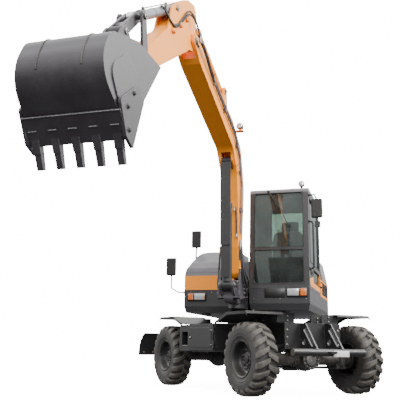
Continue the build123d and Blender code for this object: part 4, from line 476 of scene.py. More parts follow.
def hoses(name, body, routes, radius, turn=slewed, ferrule=0.05):
    """Rubber hoses along smooth routes, with a crimped steel ferrule on both ends of each."""
    line = bpy.data.curves.new(name, "CURVE")
    line.dimensions = "3D"
    line.bevel_depth, line.bevel_resolution, line.resolution_u = radius, 5, 10
    line.use_fill_caps = True
    ends = bmesh.new()
    for route in routes:
        route = [Vector(place) for place in route]
        spline = line.splines.new("NURBS")
        spline.points.add(len(route) - 1)
        for point, place in zip(spline.points, route):
            point.co = (*(turn @ place), 1.0)
        spline.order_u = 4
        spline.use_endpoint_u = True
        for tip, inner in (route[:2], route[:-3:-1]):
            along = (inner - tip).normalized()
            round_bar(ends, tip - along * 0.004, tip + along * ferrule, 1.22 * radius, 18, 0.1 * radius)
            round_bar(ends, tip - along * 0.01, tip + along * 0.012, 1.55 * radius, 6, 0.1 * radius)
    line.materials.append(hose_rubber)
    mounted(name, line, body)
    settle(ends, name + "_ends", body, bare_bolt, turn)


hose_rubber = weathered(
    "hose_rubber", (0.008, 0.008, 0.008), 0.55, dust=0.35, soil=(0.045, 0.04, 0.036), patch=14.0,
    grain=260.0, bump=0.08, edge=0.001)
brake_half = ((0.1, 0.06, 0.665), (0.16, 0.1, 0.7), (0.15, 0.3, 0.66), (0.1, 0.42, 0.6), (0.05, 0.47, 0.585))
hoses("brake_hoses", "chassis", [[(end * (axle_x - x), side * y, z) for x, y, z in brake_half]
                                 for end in (1, -1) for side in (-1, 1)], 0.008, undercarriage, 0.03)

# Rear blade: rolled steel sheet on two welded arms, with a bolted cutting edge. It is lifted by
# one cylinder in the middle, fed by two hoses.
blade_pivot_x, blade_pivot_z = -1.64, 0.56
blade_paint = weathered(
    "blade_paint", (0.009, 0.009, 0.0095), 0.5, dust=0.4, soil=(0.05, 0.045, 0.04), patch=4.0, grain=80.0,
    bump=0.08, lying_soil=0.5, rub=1.0, bare=(0.34, 0.33, 0.32))
dress(blade_paint, "dozer_blade")
dress(frame_black_and_shade, "blade_cyl_barrel")
dress(polished_rod, "blade_cyl_rod")
edge_bolts = bmesh.new()
bolts(edge_bolts, [(-2.352, -0.99 + 1.98 * i / 11, 0.535) for i in range(12)], (0.94, 0, 0.33), 0.01)
for side in (-1, 1):
    peg(edge_bolts, (blade_pivot_x, side * 0.192, blade_pivot_z), side * LEFT, 0.091, 0.038, 32, 0.003)
    bolts(edge_bolts, [(blade_pivot_x, side * 0.283, blade_pivot_z)], side * LEFT, 0.014)
settle(edge_bolts, "blade_bolts", "blade", bare_bolt, undercarriage)
hoses("blade_hoses", "chassis", [((-1.5, y, 0.86), (-1.58, 1.3 * y, 0.86), (-1.66, 1.2 * y, 0.84),
                                  (-1.66, y, 0.92), (-1.6, 0.85 * y, 0.955)) for y in (-0.1, 0.1)],
      0.009, undercarriage, 0.03)

# Turntable deck, lower skirts and counterweight: plate and castings in dark grey paint, with
# shut lines between the panels. The coloured band runs round above the right skirt.
right_face, left_face, nose_face, cab_front_x = -1.007, 1.035, 0.716, 1.36
body_grey = weathered(
    "body_grey", (0.026, 0.026, 0.028), 0.4, coat=0.2, dust=0.2, soil=(0.062, 0.06, 0.06), patch=2.6,
    grain=240.0, bump=0.03, lying_soil=0.35, rub=0.35, bare=(0.2, 0.2, 0.2))
hood_grey = weathered(
    "hood_grey", (0.09, 0.088, 0.1), 0.36, coat=0.4, dust=0.25, soil=(0.26, 0.25, 0.25), patch=3.0,
    grain=240.0, bump=0.03, lying_soil=0.25, rub=0.25, bare=(0.25, 0.25, 0.25))
ORANGE = (1.0, 0.31, 0.0)
orange_paint = weathered(
    "orange_paint", ORANGE, 0.45, coat=0.05, dust=0.06, soil=(0.6, 0.22, 0.02), patch=2.4, grain=220.0,
    bump=0.03, lying_soil=0.05, rub=0.3, bare=(0.3, 0.16, 0.08))
engine_iron = weathered(
    "engine_iron", (0.1, 0.1, 0.1), 0.6, metal=0.4, dust=0.6, soil=(0.12, 0.1, 0.08), patch=8.0,
    grain=90.0, bump=0.2, rub=0.6)
seam_rubber = weathered(
    "seam_rubber", (0.012, 0.012, 0.013), 0.7, dust=0.35, soil=(0.1, 0.09, 0.08), patch=12.0, grain=200.0,
    edge=0.001)
dress(body_grey, "left_skirt", "right_skirt", "counterweight", "upper_frame", "cab_floor")
dress(hood_grey, "tank_cover", "engine_hood")
dress(orange_paint, "right_band", "left_band")
dress(engine_iron, "engine")

trim, fasteners = bmesh.new(), bmesh.new()
for low, high in (((-1.176, 1.03, 1.4645), (1.352, 1.034, 1.4675)),
                  ((-1.176, -1.006, 1.5145), (0.708, -1.002, 1.5175)),
                  ((0.711, -1.0, 1.5145), (0.715, -0.215, 1.5175)),
                  ((0.711, -1.0, 1.74), (0.715, -0.215, 1.7425))):
    slab(trim, low, high, 0.0)
settle(trim, "body_shut_lines", "upper", seam_rubber)
bolts(fasteners, [(x, right_face, z) for x in (-0.9, -0.45, 0.05, 0.5) for z in (1.24, 1.45)], -LEFT, 0.007)
bolts(fasteners, [(x, left_face, 1.3) for x in (-0.9, -0.4, 0.15, 0.7, 1.2)], LEFT, 0.007)
bolts(fasteners, [(nose_face, y, 1.48) for y in (-0.9, -0.56, -0.3)], FORE, 0.006)
bolts(fasteners, [(cab_front_x, y, 1.325) for y in (0.24, 0.62, 0.98)], FORE, 0.006)
settle(fasteners, "panel_bolts", "upper", bare_bolt)

# Louvred grilles, handles and locks of the side panels and of the engine hood. Pressed steel
# slats in a frame, and folding black handles with a round key lock.
rim_width = 0.01
grille_black = weathered(
    "grille_black", (0.02, 0.02, 0.021), 0.5, dust=0.4, soil=(0.13, 0.12, 0.11), patch=9.0, grain=150.0,
    rub=0.4)


def louvres(shape, x0, x1, z0, z1, y, out, count):
    """Adds a framed grille of slanted slats on a side panel."""
    slab(shape, (x0, y, z0), (x1, y + out * 0.003, z1), 0.0)
    left, right, low, high = x0 - rim_width, x1 + rim_width, z0 - rim_width, z1 + rim_width
    for a, b, c, d in ((x0, x1, z1, high), (x0, x1, low, z0), (left, x0, low, high), (x1, right, low, high)):
        slab(shape, (a, y, c), (b, y + out * 0.008, d), 0.002)
    for i in range(count):
        z = z0 + (z1 - z0) * (i + 0.5) / count
        lean = Matrix.Translation((0, y + out * 0.004, z)) @ Matrix.Rotation(out * radians(38), 4, "X")
        slab(shape, (x0, -0.0012, -0.012), (x1, 0.0012, 0.012), 0.0, lean)


grilles, locks = bmesh.new(), bmesh.new()
louvres(grilles, -1.1, -0.7, 1.52, 1.7, left_face, 1, 9)
louvres(grilles, -0.62, -0.3, 1.52, 1.7, left_face, 1, 9)
louvres(grilles, -1.08, -0.66, 1.56, 1.7, right_face, -1, 8)
settle(grilles, "side_grilles", "upper", grille_black)
for x, y, z, out in ((-0.18, left_face, 1.64, 1), (-0.45, right_face, 1.64, -1), (0.4, right_face, 1.62, -1)):
    slab(locks, (x - 0.055, y, z - 0.032), (x + 0.055, y + out * 0.007, z + 0.032), 0.003)
    slab(locks, (x - 0.045, y + out * 0.006, z - 0.018), (x + 0.02, y + out * 0.014, z + 0.018), 0.003)
    peg(locks, (x + 0.037, y + out * 0.004, z), out * LEFT, 0.01, 0.01, 24, 0.0015)
settle(locks, "panel_locks", "upper", seam_rubber)

# Tank hood fittings: a lockable filler cap on its collar, and the bead that is pressed into the
# hood's front.
cap_x, cap_y = -0.12, -0.52
cap, crease = bmesh.new(), bmesh.new()
peg(cap, (cap_x, cap_y, 2.158), UP, 0.008, 0.072, 48, 0.002)
peg(cap, (cap_x, cap_y, 2.164), UP, 0.032, 0.052, 40, 0.008)
slab(cap, (cap_x - 0.045, cap_y - 0.01, 2.19), (cap_x + 0.045, cap_y + 0.01, 2.206), 0.004)
settle(cap, "filler_cap", "upper", seam_rubber)
slab(crease, (0.7165, -0.985, 1.792), (0.719, -0.215, 1.797), 0.001)
settle(crease, "tank_hood_crease", "upper", hood_grey)

# Lamps: black moulded bezels let into the skirts, with a ribbed clear lens inboard and an amber
# indicator outboard, a round work lamp at the roof and two red and amber lamps on the tail.
LENS_FRONT, TAIL_RADIUS, ROUND_LENS = 0.031, 1.65, 0.0375
bezel_black = weathered(
    "bezel_black", (0.006, 0.006, 0.006), 0.35, coat=0.2, dust=0.2, soil=(0.03, 0.03, 0.03), patch=10.0,
    grain=300.0)
moulded_lens = dict(coat=1.0, patch=20.0, grain=240.0, bump=0.02, edge=0.001)
work_glass = weathered("lamp_glass", (0.62, 0.64, 0.65), 0.1, metal=0.55, dust=0.12,
                       soil=(0.55, 0.52, 0.48), **moulded_lens)
amber_glass = weathered("amber_glass", (0.75, 0.17, 0.01), 0.15, dust=0.1, soil=(0.45, 0.2, 0.08),
                        **moulded_lens)
red_glass = weathered("red_glass", (0.42, 0.012, 0.008), 0.15, dust=0.1, soil=(0.3, 0.08, 0.05),
                      **moulded_lens)
dress(bezel_black, "lamps")


def tint_from(shape, start, index):
    """Gives the faces from a number on the piece's material of that index."""
    shape.faces.ensure_lookup_table()
    for face in shape.faces[start:]:
        face.material_index = index


bezels, lenses, rear_lamps = bmesh.new(), bmesh.new(), bmesh.new()
for x, inner, split, outer, middle in ((nose_face, -0.655, -0.843, -0.945, 1.411),
                                       (cab_front_x, 0.715, 0.897, 1.0, 1.414)):
    low, high = sorted((inner, outer))
    slab(bezels, (x - 0.002, low - 0.006, middle - 0.068), (x + 0.03, high + 0.006, middle + 0.068), 0.014)
    for a, b, ribs, index in ((inner, split, 18, 0), (split, outer, 9, 1)):
        start, front = len(lenses.faces), x + LENS_FRONT
        low, high = min(a, b) + 0.012, max(a, b) - 0.006
        slab(lenses, (front, low, middle - 0.048), (front + 0.009, high, middle + 0.048), 0.004)
        for i in range(ribs):
            y = low + (high - low) * (i + 0.5) / ribs
            peg(lenses, (front + 0.0085, y, middle - 0.042), UP, 0.084, 0.0024, 8)
        tint_from(lenses, start, index)
slab(bezels, (1.357, 0.395, 1.335), (1.3635, 0.69, 1.475), 0.003)
slab(bezels, (1.357, 0.41, 1.35), (1.3665, 0.675, 1.46), 0.003)
settle(bezels, "lamp_surrounds", "upper", bezel_black)
start = len(lenses.faces)
peg(lenses, (1.208, 0.93, 3.011), FORE, 0.0125, ROUND_LENS, 40, 0.004)
tint_from(lenses, start, 0)
settle(lenses, "lamp_lenses", "upper", (work_glass, amber_glass))
for y in (-0.8, 0.8):
    x = -sqrt(TAIL_RADIUS ** 2 - y ** 2)
    turn = Matrix.Translation((x, y, 1.6)) @ Matrix.Rotation(atan2(y, x), 4, "Z")
    for index, low, high in ((0, (-0.004, -0.075, -0.045), (0.018, 0.075, 0.045)),
                             (1, (0.014, -0.066, -0.036), (0.026, 0.0, 0.036)),
                             (2, (0.014, 0.004, -0.036), (0.026, 0.066, 0.036))):
        start = len(rear_lamps.faces)
        slab(rear_lamps, low, high, 0.004, turn)
        tint_from(rear_lamps, start, index)
settle(rear_lamps, "rear_lamps", "upper", (bezel_black, red_glass, amber_glass))

# Mirrors and rails: black plastic shells with silvered glass behind, on black steel stalks, and
# painted steel grab rails.
plastic_black = weathered(
    "moulded_black", (0.007, 0.007, 0.007), 0.5, dust=0.3, soil=(0.035, 0.035, 0.033), patch=9.0,
    grain=320.0, bump=0.07)
mirror_silver = weathered(
    "mirror_silver", (0.8, 0.82, 0.83), 0.04, metal=1.0, dust=0.06, soil=(0.5, 0.5, 0.5), patch=10.0,
    grain=100.0, bump=0.0)
rail_black = weathered(
    "rail_black", (0.009, 0.009, 0.009), 0.4, coat=0.15, dust=0.3, soil=(0.04, 0.04, 0.037), patch=9.0,
    grain=200.0, rub=0.6)
dress(plastic_black, "mirrors")
dress(rail_black, "handrails")
silver, clamps = bmesh.new(), bmesh.new()
for x, y, z, joint_z in ((0.8, -1.207, 1.88, -0.15), (0.43, -0.91, 2.37, -0.15), (1.29, 1.155, 2.615, 0.132)):
    slab(silver, (x - 0.0235, y - 0.065, z - 0.125), (x - 0.0205, y + 0.065, z + 0.125), 0.001)
    peg(clamps, (x - 0.018, y, z + joint_z), UP, 0.018, 0.017, 20, 0.003)
for x, y, z in ((0.7, -1.012, 1.48), (0.43, -0.912, 2.085), (1.27, 1.04, 2.82)):
    peg(clamps, (x, y - 0.004, z), LEFT, 0.016, 0.024, 24, 0.003)
for z in (1.75, 2.43):
    peg(clamps, (1.28, 1.0352, z), LEFT, 0.0088, 0.026, 28, 0.002)
settle(silver, "mirror_glass", "upper", mirror_silver)
settle(clamps, "stalk_collars", "upper", plastic_black)

# Cab: welded tube frame in black paint under a grey roof. Behind the door the lower side is orange
# up to a line that rises towards the rear. The door has its own frame and two panes.
CAB_BLACK = (0.016, 0.016, 0.0175)
door_line_x, door_line_z = (1.36, -0.08), (1.6, 1.82)
cab_look = dict(dust=0.2, soil=(0.05, 0.05, 0.05), patch=3.5, grain=240.0, bump=0.03, rub=0.3)
cab_black = weathered("cab_black", CAB_BLACK, 0.38, coat=0.25, lying_soil=0.4, **cab_look)
dress(cab_black, "cab_front", "cab_side", "cab_rear")
roof_grey = weathered(
    "roof_grey", (0.085, 0.085, 0.092), 0.42, coat=0.2, dust=0.25, soil=(0.2, 0.2, 0.2), patch=2.6,
    grain=220.0, bump=0.03, lying_soil=0.25)
dress(roof_grey, "cab_roof")
side_paint = weathered("cab_side_paint", CAB_BLACK, 0.38, coat=0.2, **cab_look)
tree = side_paint.node_tree
shader = tree.nodes["Principled BSDF"]
along = grown(tree, "Mapping", {"Vector": grown(tree, "TexCoord")["Object"], "Location": (ring_x, ring_y, 0),
                                "Rotation": (0, 0, slewed.to_euler().z)}, vector_type="TEXTURE")
parts = grown(tree, "SeparateXYZ", {"Vector": along["Vector"]})
rise = grown(tree, "MapRange", {"Value": parts["X"], "From Min": door_line_x[0], "From Max": door_line_x[1],
                                "To Min": door_line_z[0], "To Max": door_line_z[1]}, clamp=False)
under = grown(tree, "Math", {0: parts["Z"], 1: rise["Result"]}, operation="LESS_THAN")
both = {"Factor": under["Value"], "A": shader.inputs["Base Color"].links[0].from_socket, "B": (*ORANGE, 1)}
feed(shader, {"Base Color": grown(tree, "Mix", both, data_type="RGBA")["Result"]})
dress(side_paint, "cab_left", "cab_door")

# Glazing: flat tinted panes, faintly green, with a film of dust. Black gaskets hold them, and the
# windshield is split by its frame's bar. One wiper sweeps it, and the roof has a hatch.
tinted = bpy.data.materials.new("tinted_glass")
tinted.use_nodes = True
pane = tinted.node_tree
pane.nodes.remove(pane.nodes["Principled BSDF"])
see_through = grown(pane, "BsdfTransparent", {"Color": (0.4, 0.47, 0.44, 1)})["BSDF"]
sheen = grown(pane, "BsdfGlossy", {"Color": (0.55, 0.62, 0.6, 1), "Roughness": 0.03})["BSDF"]
film = grown(pane, "BsdfDiffuse", {"Color": (0.16, 0.185, 0.178, 1)})["BSDF"]
glass_place = grown(pane, "TexCoord")["Object"]
streaks = grown(pane, "TexNoise", {"Vector": glass_place, "Scale": 3.0, "Detail": 6.0})["Fac"]
streak_range = grown(pane, "MapRange", {"Value": streaks, "From Min": 0.35, "From Max": 0.8, "To Min": 0.1,
                                        "To Max": 0.3})["Result"]
dusted = grown(pane, "MixShader", {"Fac": streak_range, 1: see_through, 2: film})["Shader"]
at_edge = grown(pane, "Fresnel", {"IOR": 1.55})["Fac"]
lift = grown(pane, "Math", {0: at_edge, 1: 0.04}, operation="ADD")["Value"]
shining = grown(pane, "MixShader", {"Fac": lift, 1: dusted, 2: sheen})["Shader"]
feed(pane.nodes["Material Output"], {"Surface": shining})
dress(tinted, "cab_glass", "door_glass")

cab_foot, cab_top, cab_lean = 1.468, 2.943, 0.06
lean_per_metre = cab_lean / (cab_top - cab_foot)
window_side, door_side = 0.177, 1.033
gasket_width = 0.012


def cab_face(z):
    """Front face of the leaning cab at a height."""
    return cab_front_x - lean_per_metre * (z - cab_foot)


def gasket_frame(shape, corners, out):
    """Adds a rubber gasket round an opening: one strip along each side of its outline."""
    corners, out = [Vector(c) for c in corners], Vector(out).normalized()
    for a, b in zip(corners, corners[1:] + corners[:1]):
        along = (b - a).normalized()
        turn = Matrix((along, along.cross(out), out)).transposed().to_4x4()
        turn.translation = (a + b) / 2
        reach, half = (b - a).length / 2 + gasket_width / 2, gasket_width / 2
        slab(shape, (-reach, -half, -0.002), (reach, half, 0.004), 0.0015, turn)


gaskets, door_gaskets, wiper, roof = bmesh.new(), bmesh.new(), bmesh.new(), bmesh.new()
for z0, z1 in ((1.545, 2.027), (2.063, 2.868)):
    line = [(cab_face(z) - 0.002, y, z) for y, z in ((0.239, z0), (0.957, z0), (0.957, z1), (0.239, z1))]
    gasket_frame(gaskets, line, (1, 0, lean_per_metre))
for shape, y, out, x0, x1, z0, z1 in ((gaskets, window_side, -LEFT, -0.002, 1.21, 1.7, 2.85),
                                      (door_gaskets, door_side, LEFT, 0.043, 1.18, 1.858, 2.803),
                                      (door_gaskets, door_side, LEFT, 0.063, 0.82, 1.598, 1.788)):
    gasket_frame(shape, [(x0, y, z0), (x1, y, z0), (x1, y, z1), (x0, y, z1)], out)
settle(gaskets, "window_gaskets", "upper", seam_rubber)
slab(door_gaskets, (1.0, 1.032, 1.68), (1.16, 1.04, 1.76), 0.004)
slab(door_gaskets, (1.02, 1.038, 1.705), (1.11, 1.048, 1.735), 0.004)
peg(door_gaskets, (1.14, 1.036, 1.72), LEFT, 0.011, 0.011, 24, 0.002)
settle(door_gaskets, "door_gaskets", "cab_door", seam_rubber)

motor_x = cab_face(2.84)
peg(wiper, (motor_x, 0.46, 2.895), FORE, 0.03, 0.02, 28, 0.003)
round_bar(wiper, (motor_x + 0.026, 0.46, 2.895), (cab_face(2.6) + 0.016, 0.64, 2.6), 0.0065, 12)
for proud, radius, steps in ((0.01, 0.005, 10), (0.004, 0.003, 8)):
    round_bar(wiper, (cab_face(2.8) + proud, 0.545, 2.83), (cab_face(2.42) + proud, 0.735, 2.4), radius, steps)
settle(wiper, "windshield_wiper", "upper", plastic_black)

slab(roof, (0.25, 0.33, 2.9405), (0.95, 0.88, 2.962), 0.008)
for y in (0.43, 0.605, 0.78):
    slab(roof, (0.3, y - 0.02, 2.96), (0.9, y + 0.02, 2.968), 0.003)
for x in (-0.02, 1.15):
    slab(roof, (x, 0.25, 2.9415), (x + 0.05, 0.96, 2.948), 0.003)
settle(roof, "roof_hatch", "upper", cab_black)

# Driver's place: a black fabric seat with a crowned cushion and back, side consoles with ball
# grips, the steering column, a small monitor and the rolled sun blind at the windshield's top.
seat_middle, channel_width = 0.606, 0.05
trim_plastic = weathered(
    "console_plastic", (0.045, 0.046, 0.05), 0.55, dust=0.35, soil=(0.14, 0.13, 0.12), patch=8.0,
    grain=320.0, bump=0.1)
blind_cloth = weathered(
    "blind_cloth", (0.03, 0.032, 0.038), 0.85, dust=0.4, soil=(0.1, 0.1, 0.11), patch=18.0, grain=420.0,
    bump=0.25)
seat_cloth = weathered(
    "seat_cloth", (0.03, 0.033, 0.04), 0.88, dust=0.5, soil=(0.12, 0.12, 0.14), patch=16.0, grain=480.0,
    bump=0.35)
dress(trim_plastic, "cab_controls")


def cushion(name, low, high, lean, crown, channels):
    """A padded block: its faces crown between drawn-in edges, with sewn channels across the front."""
    low, high = Vector(low), Vector(high)
    size = high - low
    pad = bmesh.new()
    bmesh.ops.create_cube(pad, size=1.0)
    bmesh.ops.subdivide_edges(pad, edges=pad.edges[:], cuts=15, use_grid_fill=True)
    for vert in pad.verts:
        u, v, w = (2 * c for c in vert.co)
        reach = max(abs(u), abs(v), abs(w))
        round_off = (abs(u) ** 5 + abs(v) ** 5 + abs(w) ** 5) ** 0.2
        vert.co = Vector((u, v, w)) * (reach / max(round_off, 1e-6)) / 2
        if abs(w) > 0.98:
            fill = (1 - vert.co.x ** 2 * 3.2) * (1 - vert.co.y ** 2 * 3.2)
            vert.co.z += copysign(crown * max(fill, 0.0), w) / size.z
        groove = min((abs(vert.co.y - c) for c in channels), default=1.0)
        if abs(w) > 0.9 and groove < channel_width:
            vert.co.z -= copysign(0.01 * (1 - groove / channel_width), w) / size.z
        vert.co = vert.co * size
    bmesh.ops.smooth_vert(pad, verts=pad.verts, factor=0.5, use_axis_x=True, use_axis_y=True, use_axis_z=True)
    place = Matrix.Translation((low + high) / 2) @ Matrix.Rotation(radians(lean), 4, "Y")
    settle(pad, name, "upper", seat_cloth, slewed @ place, 60)


cushion("seat_cushion", (0.25, 0.356, 1.765), (0.76, 0.856, 1.905), -4, 0.012, (-0.28, 0.28))
cushion("seat_back", (0.16, 0.366, 2.08), (0.76, 0.846, 2.215), 80, 0.014, (-0.28, 0.28))
cushion("seat_headrest", (0.135, 0.47, 2.505), (0.305, 0.742, 2.6), 80, 0.01, ())
base, inside, blind = bmesh.new(), bmesh.new(), bmesh.new()
slab(base, (0.33, 0.416, 1.513), (0.62, 0.796, 1.6), 0.012)
for i in range(5):
    inset, z = 0.004 * (i % 2), 1.6 + 0.03 * i
    slab(base, (0.345 + inset, 0.43, z), (0.605 - inset, 0.782, z + 0.028), 0.01)
for y in (seat_middle - 0.275, seat_middle + 0.275):
    round_bar(base, (0.235, y, 2.02), (0.56, y, 2.0), 0.028, 24, 0.012)
piece = settle(base, "seat_base", "upper", trim_plastic)
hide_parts("seat")
slab(inside, (1.02, 0.245, 2.05), (1.05, 0.395, 2.24), 0.008)
slab(inside, (1.05, 0.3, 1.95), (1.07, 0.33, 2.1), 0.003)
for y in (0.46, 0.75):
    slab(inside, (1.05, y - 0.05, 1.56), (1.2, y + 0.05, 1.575), 0.004)
    round_bar(inside, (1.06, y, 1.515), (1.1, y, 1.8), 0.01, 14)
settle(inside, "monitor_and_pedals", "upper", trim_plastic)
peg(blind, (1.262, 0.25, 2.845), LEFT, 0.7, 0.022, 28, 0.003)
slab(blind, (1.238, 0.255, 2.62), (1.2405, 0.56, 2.84), 0.0)
settle(blind, "sun_blind", "upper", blind_cloth)

# Swing post: a steel casting on an upright pin at the nose, dark grey, with pins for the boom and
# its cylinder. The boom's hoses start on its flanks and loop up to the boom's pipes.
boom_foot, boom_cyl_foot, post_x = (1.7, 1.64), (1.95, 1.47), 1.52
keeper_lift, keeper_half = 0.014, 0.013
post_grey = weathered(
    "post_grey", (0.04, 0.036, 0.044), 0.5, coat=0.1, dust=0.35, soil=(0.1, 0.09, 0.095), patch=5.0,
    grain=110.0, bump=0.12, lying_soil=0.3, rub=0.5, edge=0.006)
pin_steel = weathered(
    "pin_steel", (0.2, 0.195, 0.19), 0.38, metal=0.8, dust=0.6, soil=(0.12, 0.1, 0.08), patch=18.0,
    grain=160.0, rub=0.8)
dress(post_grey, "swing_post")


def pin_ends(name, body, *spots):
    """Pin heads on both sides of a joint, each with a grease nipple and where given a bolted keeper plate."""
    heads = bmesh.new()
    for (x, z), reach, radius, keeper in spots:
        for side in (-1, 1):
            out = side * LEFT
            peg(heads, (x, side * (reach - 0.004), z), out, 0.014, radius, 36, 0.003)
            peg(heads, (x, side * (reach + 0.008), z), out, 0.012, 0.006, 12, 0.001)
            if keeper:
                dx, dz = keeper
                lean = Matrix.Translation((x, 0, z)) @ Matrix.Rotation(-atan2(dz, dx), 4, "Y")
                end = (hypot(dx, dz) + 0.014, side * (reach + keeper_lift), keeper_half)
                slab(heads, (0.012, side * (reach + 0.004), -keeper_half), end, 0.003, lean)
                bolts(heads, [(x + dx, side * (reach + keeper_lift), z + dz)], out, 0.008)
    settle(heads, name, body, pin_steel)


pin_ends("post_pins", "swing_post", (boom_foot, 0.1565, 0.036, (-0.045, -0.045)), (boom_cyl_foot, 0.106, 0.03, None))
swing_cap = bmesh.new()
peg(swing_cap, (post_x, 0, 1.553), UP, 0.013, 0.062, 48, 0.004)
bolts(swing_cap, on_circle((post_x, 0, 1.566), UP, 0.046, 6), UP, 0.007)
settle(swing_cap, "swing_pin_cap", "upper", pin_steel)
post_routes = []
for i in range(4):
    odd, z = i % 2, 1.3 + 0.055 * i
    y = 0.15 + 0.03 * odd
    post_routes.append(((1.6, 0.15, z + 0.03), (1.602, y + 0.045, z + 0.035), (1.64, y + 0.05, z + 0.07),
                        (1.72, y + 0.045, z + 0.14), (1.8, 0.165 + 0.012 * odd, 1.68 + 0.02 * i),
                        (1.775 - 0.012 * i, 0.15 + 0.02 * odd, 1.86 + 0.03 * i),
                        (1.79 - 0.024 * i, 0.139, 2.02 + 0.03 * i)))
hoses("post_hoses_left", "swing_post", post_routes, 0.0105)
hoses("post_hoses_right", "swing_post",
      [((1.6, -0.15, 1.36 + 0.06 * i), (1.602, -0.2 - 0.01 * i, 1.365 + 0.06 * i),
        (1.66, -0.205 - 0.01 * i, 1.41 + 0.06 * i), (1.75, -0.175, 1.53 + 0.06 * i),
        (1.8, -0.15, 1.78 + 0.05 * i), (1.8, -0.138, 1.96 + 0.05 * i)) for i in range(2)], 0.0105)

# Boom: a welded box of plate, bent at its middle, in orange paint. Weld beads run along its four
# corners, and steel oil pipes in clamps lie on its back and down its left side.
boom_side, lamp_y, lamp_z = 0.1195, 0.1835, 3.7
arm_cyl_foot, arm_pivot = (2.45, 4.05), (3.93, 4.06)
pipe_grey = weathered(
    "pipe_grey", (0.085, 0.08, 0.098), 0.36, coat=0.2, dust=0.35, soil=(0.2, 0.18, 0.17), patch=9.0,
    grain=200.0, rub=0.4, edge=0.002)
dress(orange_paint, "boom", "arm")
dress(pipe_grey, "boom_lines")


def side_welds(name, body, *groups):
    """Weld beads along both sides of a box of plate, each group at its distance from the middle."""
    seams = bmesh.new()
    for reach, radius, lines in groups:
        for x0, z0, x1, z1 in lines:
            for side in (-1, 1):
                weld(seams, (x0, side * reach, z0), (x1, side * reach, z1), radius)
    settle(seams, name, body, orange_paint)


side_welds("boom_welds", "boom",
           (boom_side, 0.0045, ((1.834, 2.1, 1.8455, 2.68), (2.24, 3.383, 3.7, 3.85), (1.6, 1.95, 1.48, 2.7),
                                (2.36, 3.78, 3.05, 3.931))),
           (0.089, 0.0045, ((2.345, 3.78, 2.392, 4.05), (2.512, 4.05, 2.622, 3.84))))
pin_ends("boom_pins", "boom", (arm_cyl_foot, 0.094, 0.034, (0.04, -0.05)), (arm_pivot, 0.1225, 0.042, (-0.06, -0.035)))
boom_bits, boom_lamp, lamp_can = bmesh.new(), bmesh.new(), bmesh.new()
for side in (-1, 1):
    for x, z in ((1.872, 3.06), (1.902, 3.155)):
        peg(boom_bits, (x, side * 0.119, z), side * LEFT, 0.009, 0.016, 20, 0.002)
    slab(boom_bits, (1.7, side * 0.1225 - 0.004, 1.83), (1.79, side * 0.1225 + 0.004, 1.95), 0.003)
    bolts(boom_bits, [(x, side * 0.1265, z) for x, z in ((1.715, 1.85), (1.775, 1.93))], side * LEFT, 0.008)
settle(boom_bits, "boom_bosses", "boom", pin_steel)
peg(boom_lamp, (2.008, lamp_y, lamp_z), FORE, 0.0155, ROUND_LENS, 40, 0.004)
settle(boom_lamp, "boom_lamp_lens", "boom", work_glass)
peg(lamp_can, (1.953, lamp_y, lamp_z), FORE, 0.0645, 0.0465, 40, 0.006)
peg(lamp_can, (1.94, lamp_y, lamp_z), FORE, 0.015, 0.02, 20, 0.004)
slab(lamp_can, (1.96, 0.135, 3.62), (2.0, 0.232, 3.628), 0.002)
for y in (0.137, 0.23):
    slab(lamp_can, (1.975, y - 0.003, 3.622), (1.999, y + 0.003, 3.705), 0.001)
settle(lamp_can, "boom_lamp_can", "boom", bezel_black)

# Hoses along the boom's back and over its left side to the arm's pivot, and one down its face to
# the boom cylinder. Each has a crimped end on a pipe or port.
nose_routes = []
for i in range(3):
    y = -0.05 + 0.036 * i
    nose_routes.append(((2.33, 0.02 + 0.018 * i, 3.812), (2.48, y, 3.835), (2.75, y - 0.02, 3.89),
                        (3.0, y - 0.03, 3.942), (3.23, y, 3.99), (3.3, y, 4.004)))
hoses("boom_back_hoses", "boom", nose_routes, 0.01)
hoses("nose_hoses_left", "boom",
      [((3.18 + 0.02 * i, 0.142, 3.838 + 0.046 * i), (3.33, 0.145, 3.88 + 0.046 * i),
        (3.56, 0.158, 3.96 + 0.05 * i), (3.76, 0.168, 4.03 + 0.04 * i),
        (3.88, 0.17, 4.055 + 0.03 * i), (3.93, 0.17, 4.048 + 0.024 * i)) for i in range(2)], 0.0115)
hoses("boom_cylinder_hose", "boom",
      [((1.925, 0.086, 2.5), (1.915, 0.09, 2.55), (1.89, 0.1, 2.56), (1.866, 0.104, 2.48),
        (1.86, 0.105, 2.3), (1.858, 0.105, 2.14))], 0.0095, ferrule=0.04)

# Cylinders: honed tubes with screwed gland rings and chrome rods. The arm's barrel is orange and
# the bucket's is grey. The boom's has a dark sliding guard in front.
bucket_cyl_foot, bucket_cyl_eye = (4.48, 4.18), (5.49, 3.53)
guard_grey = weathered(
    "guard_grey", (0.018, 0.018, 0.019), 0.45, coat=0.1, dust=0.3, soil=(0.06, 0.056, 0.056), patch=4.0,
    grain=120.0, bump=0.06, rub=0.8)
chrome = weathered(
    "chrome_rod", (0.8, 0.8, 0.81), 0.07, metal=1.0, dust=0.06, soil=(0.35, 0.33, 0.3), patch=10.0,
    grain=300.0, bump=0.004)
lilac_grey = weathered(
    "lilac_grey", (0.155, 0.148, 0.175), 0.38, coat=0.35, dust=0.3, soil=(0.24, 0.22, 0.21), patch=5.0,
    grain=200.0, rub=0.4)
dress(guard_grey, "boom_cyl_barrel", "boom_cyl_rod")
dress(orange_paint, "arm_cyl_barrel")
dress(lilac_grey, "bucket_cyl_barrel")
dress(chrome, "arm_cyl_rod", "bucket_cyl_rod")

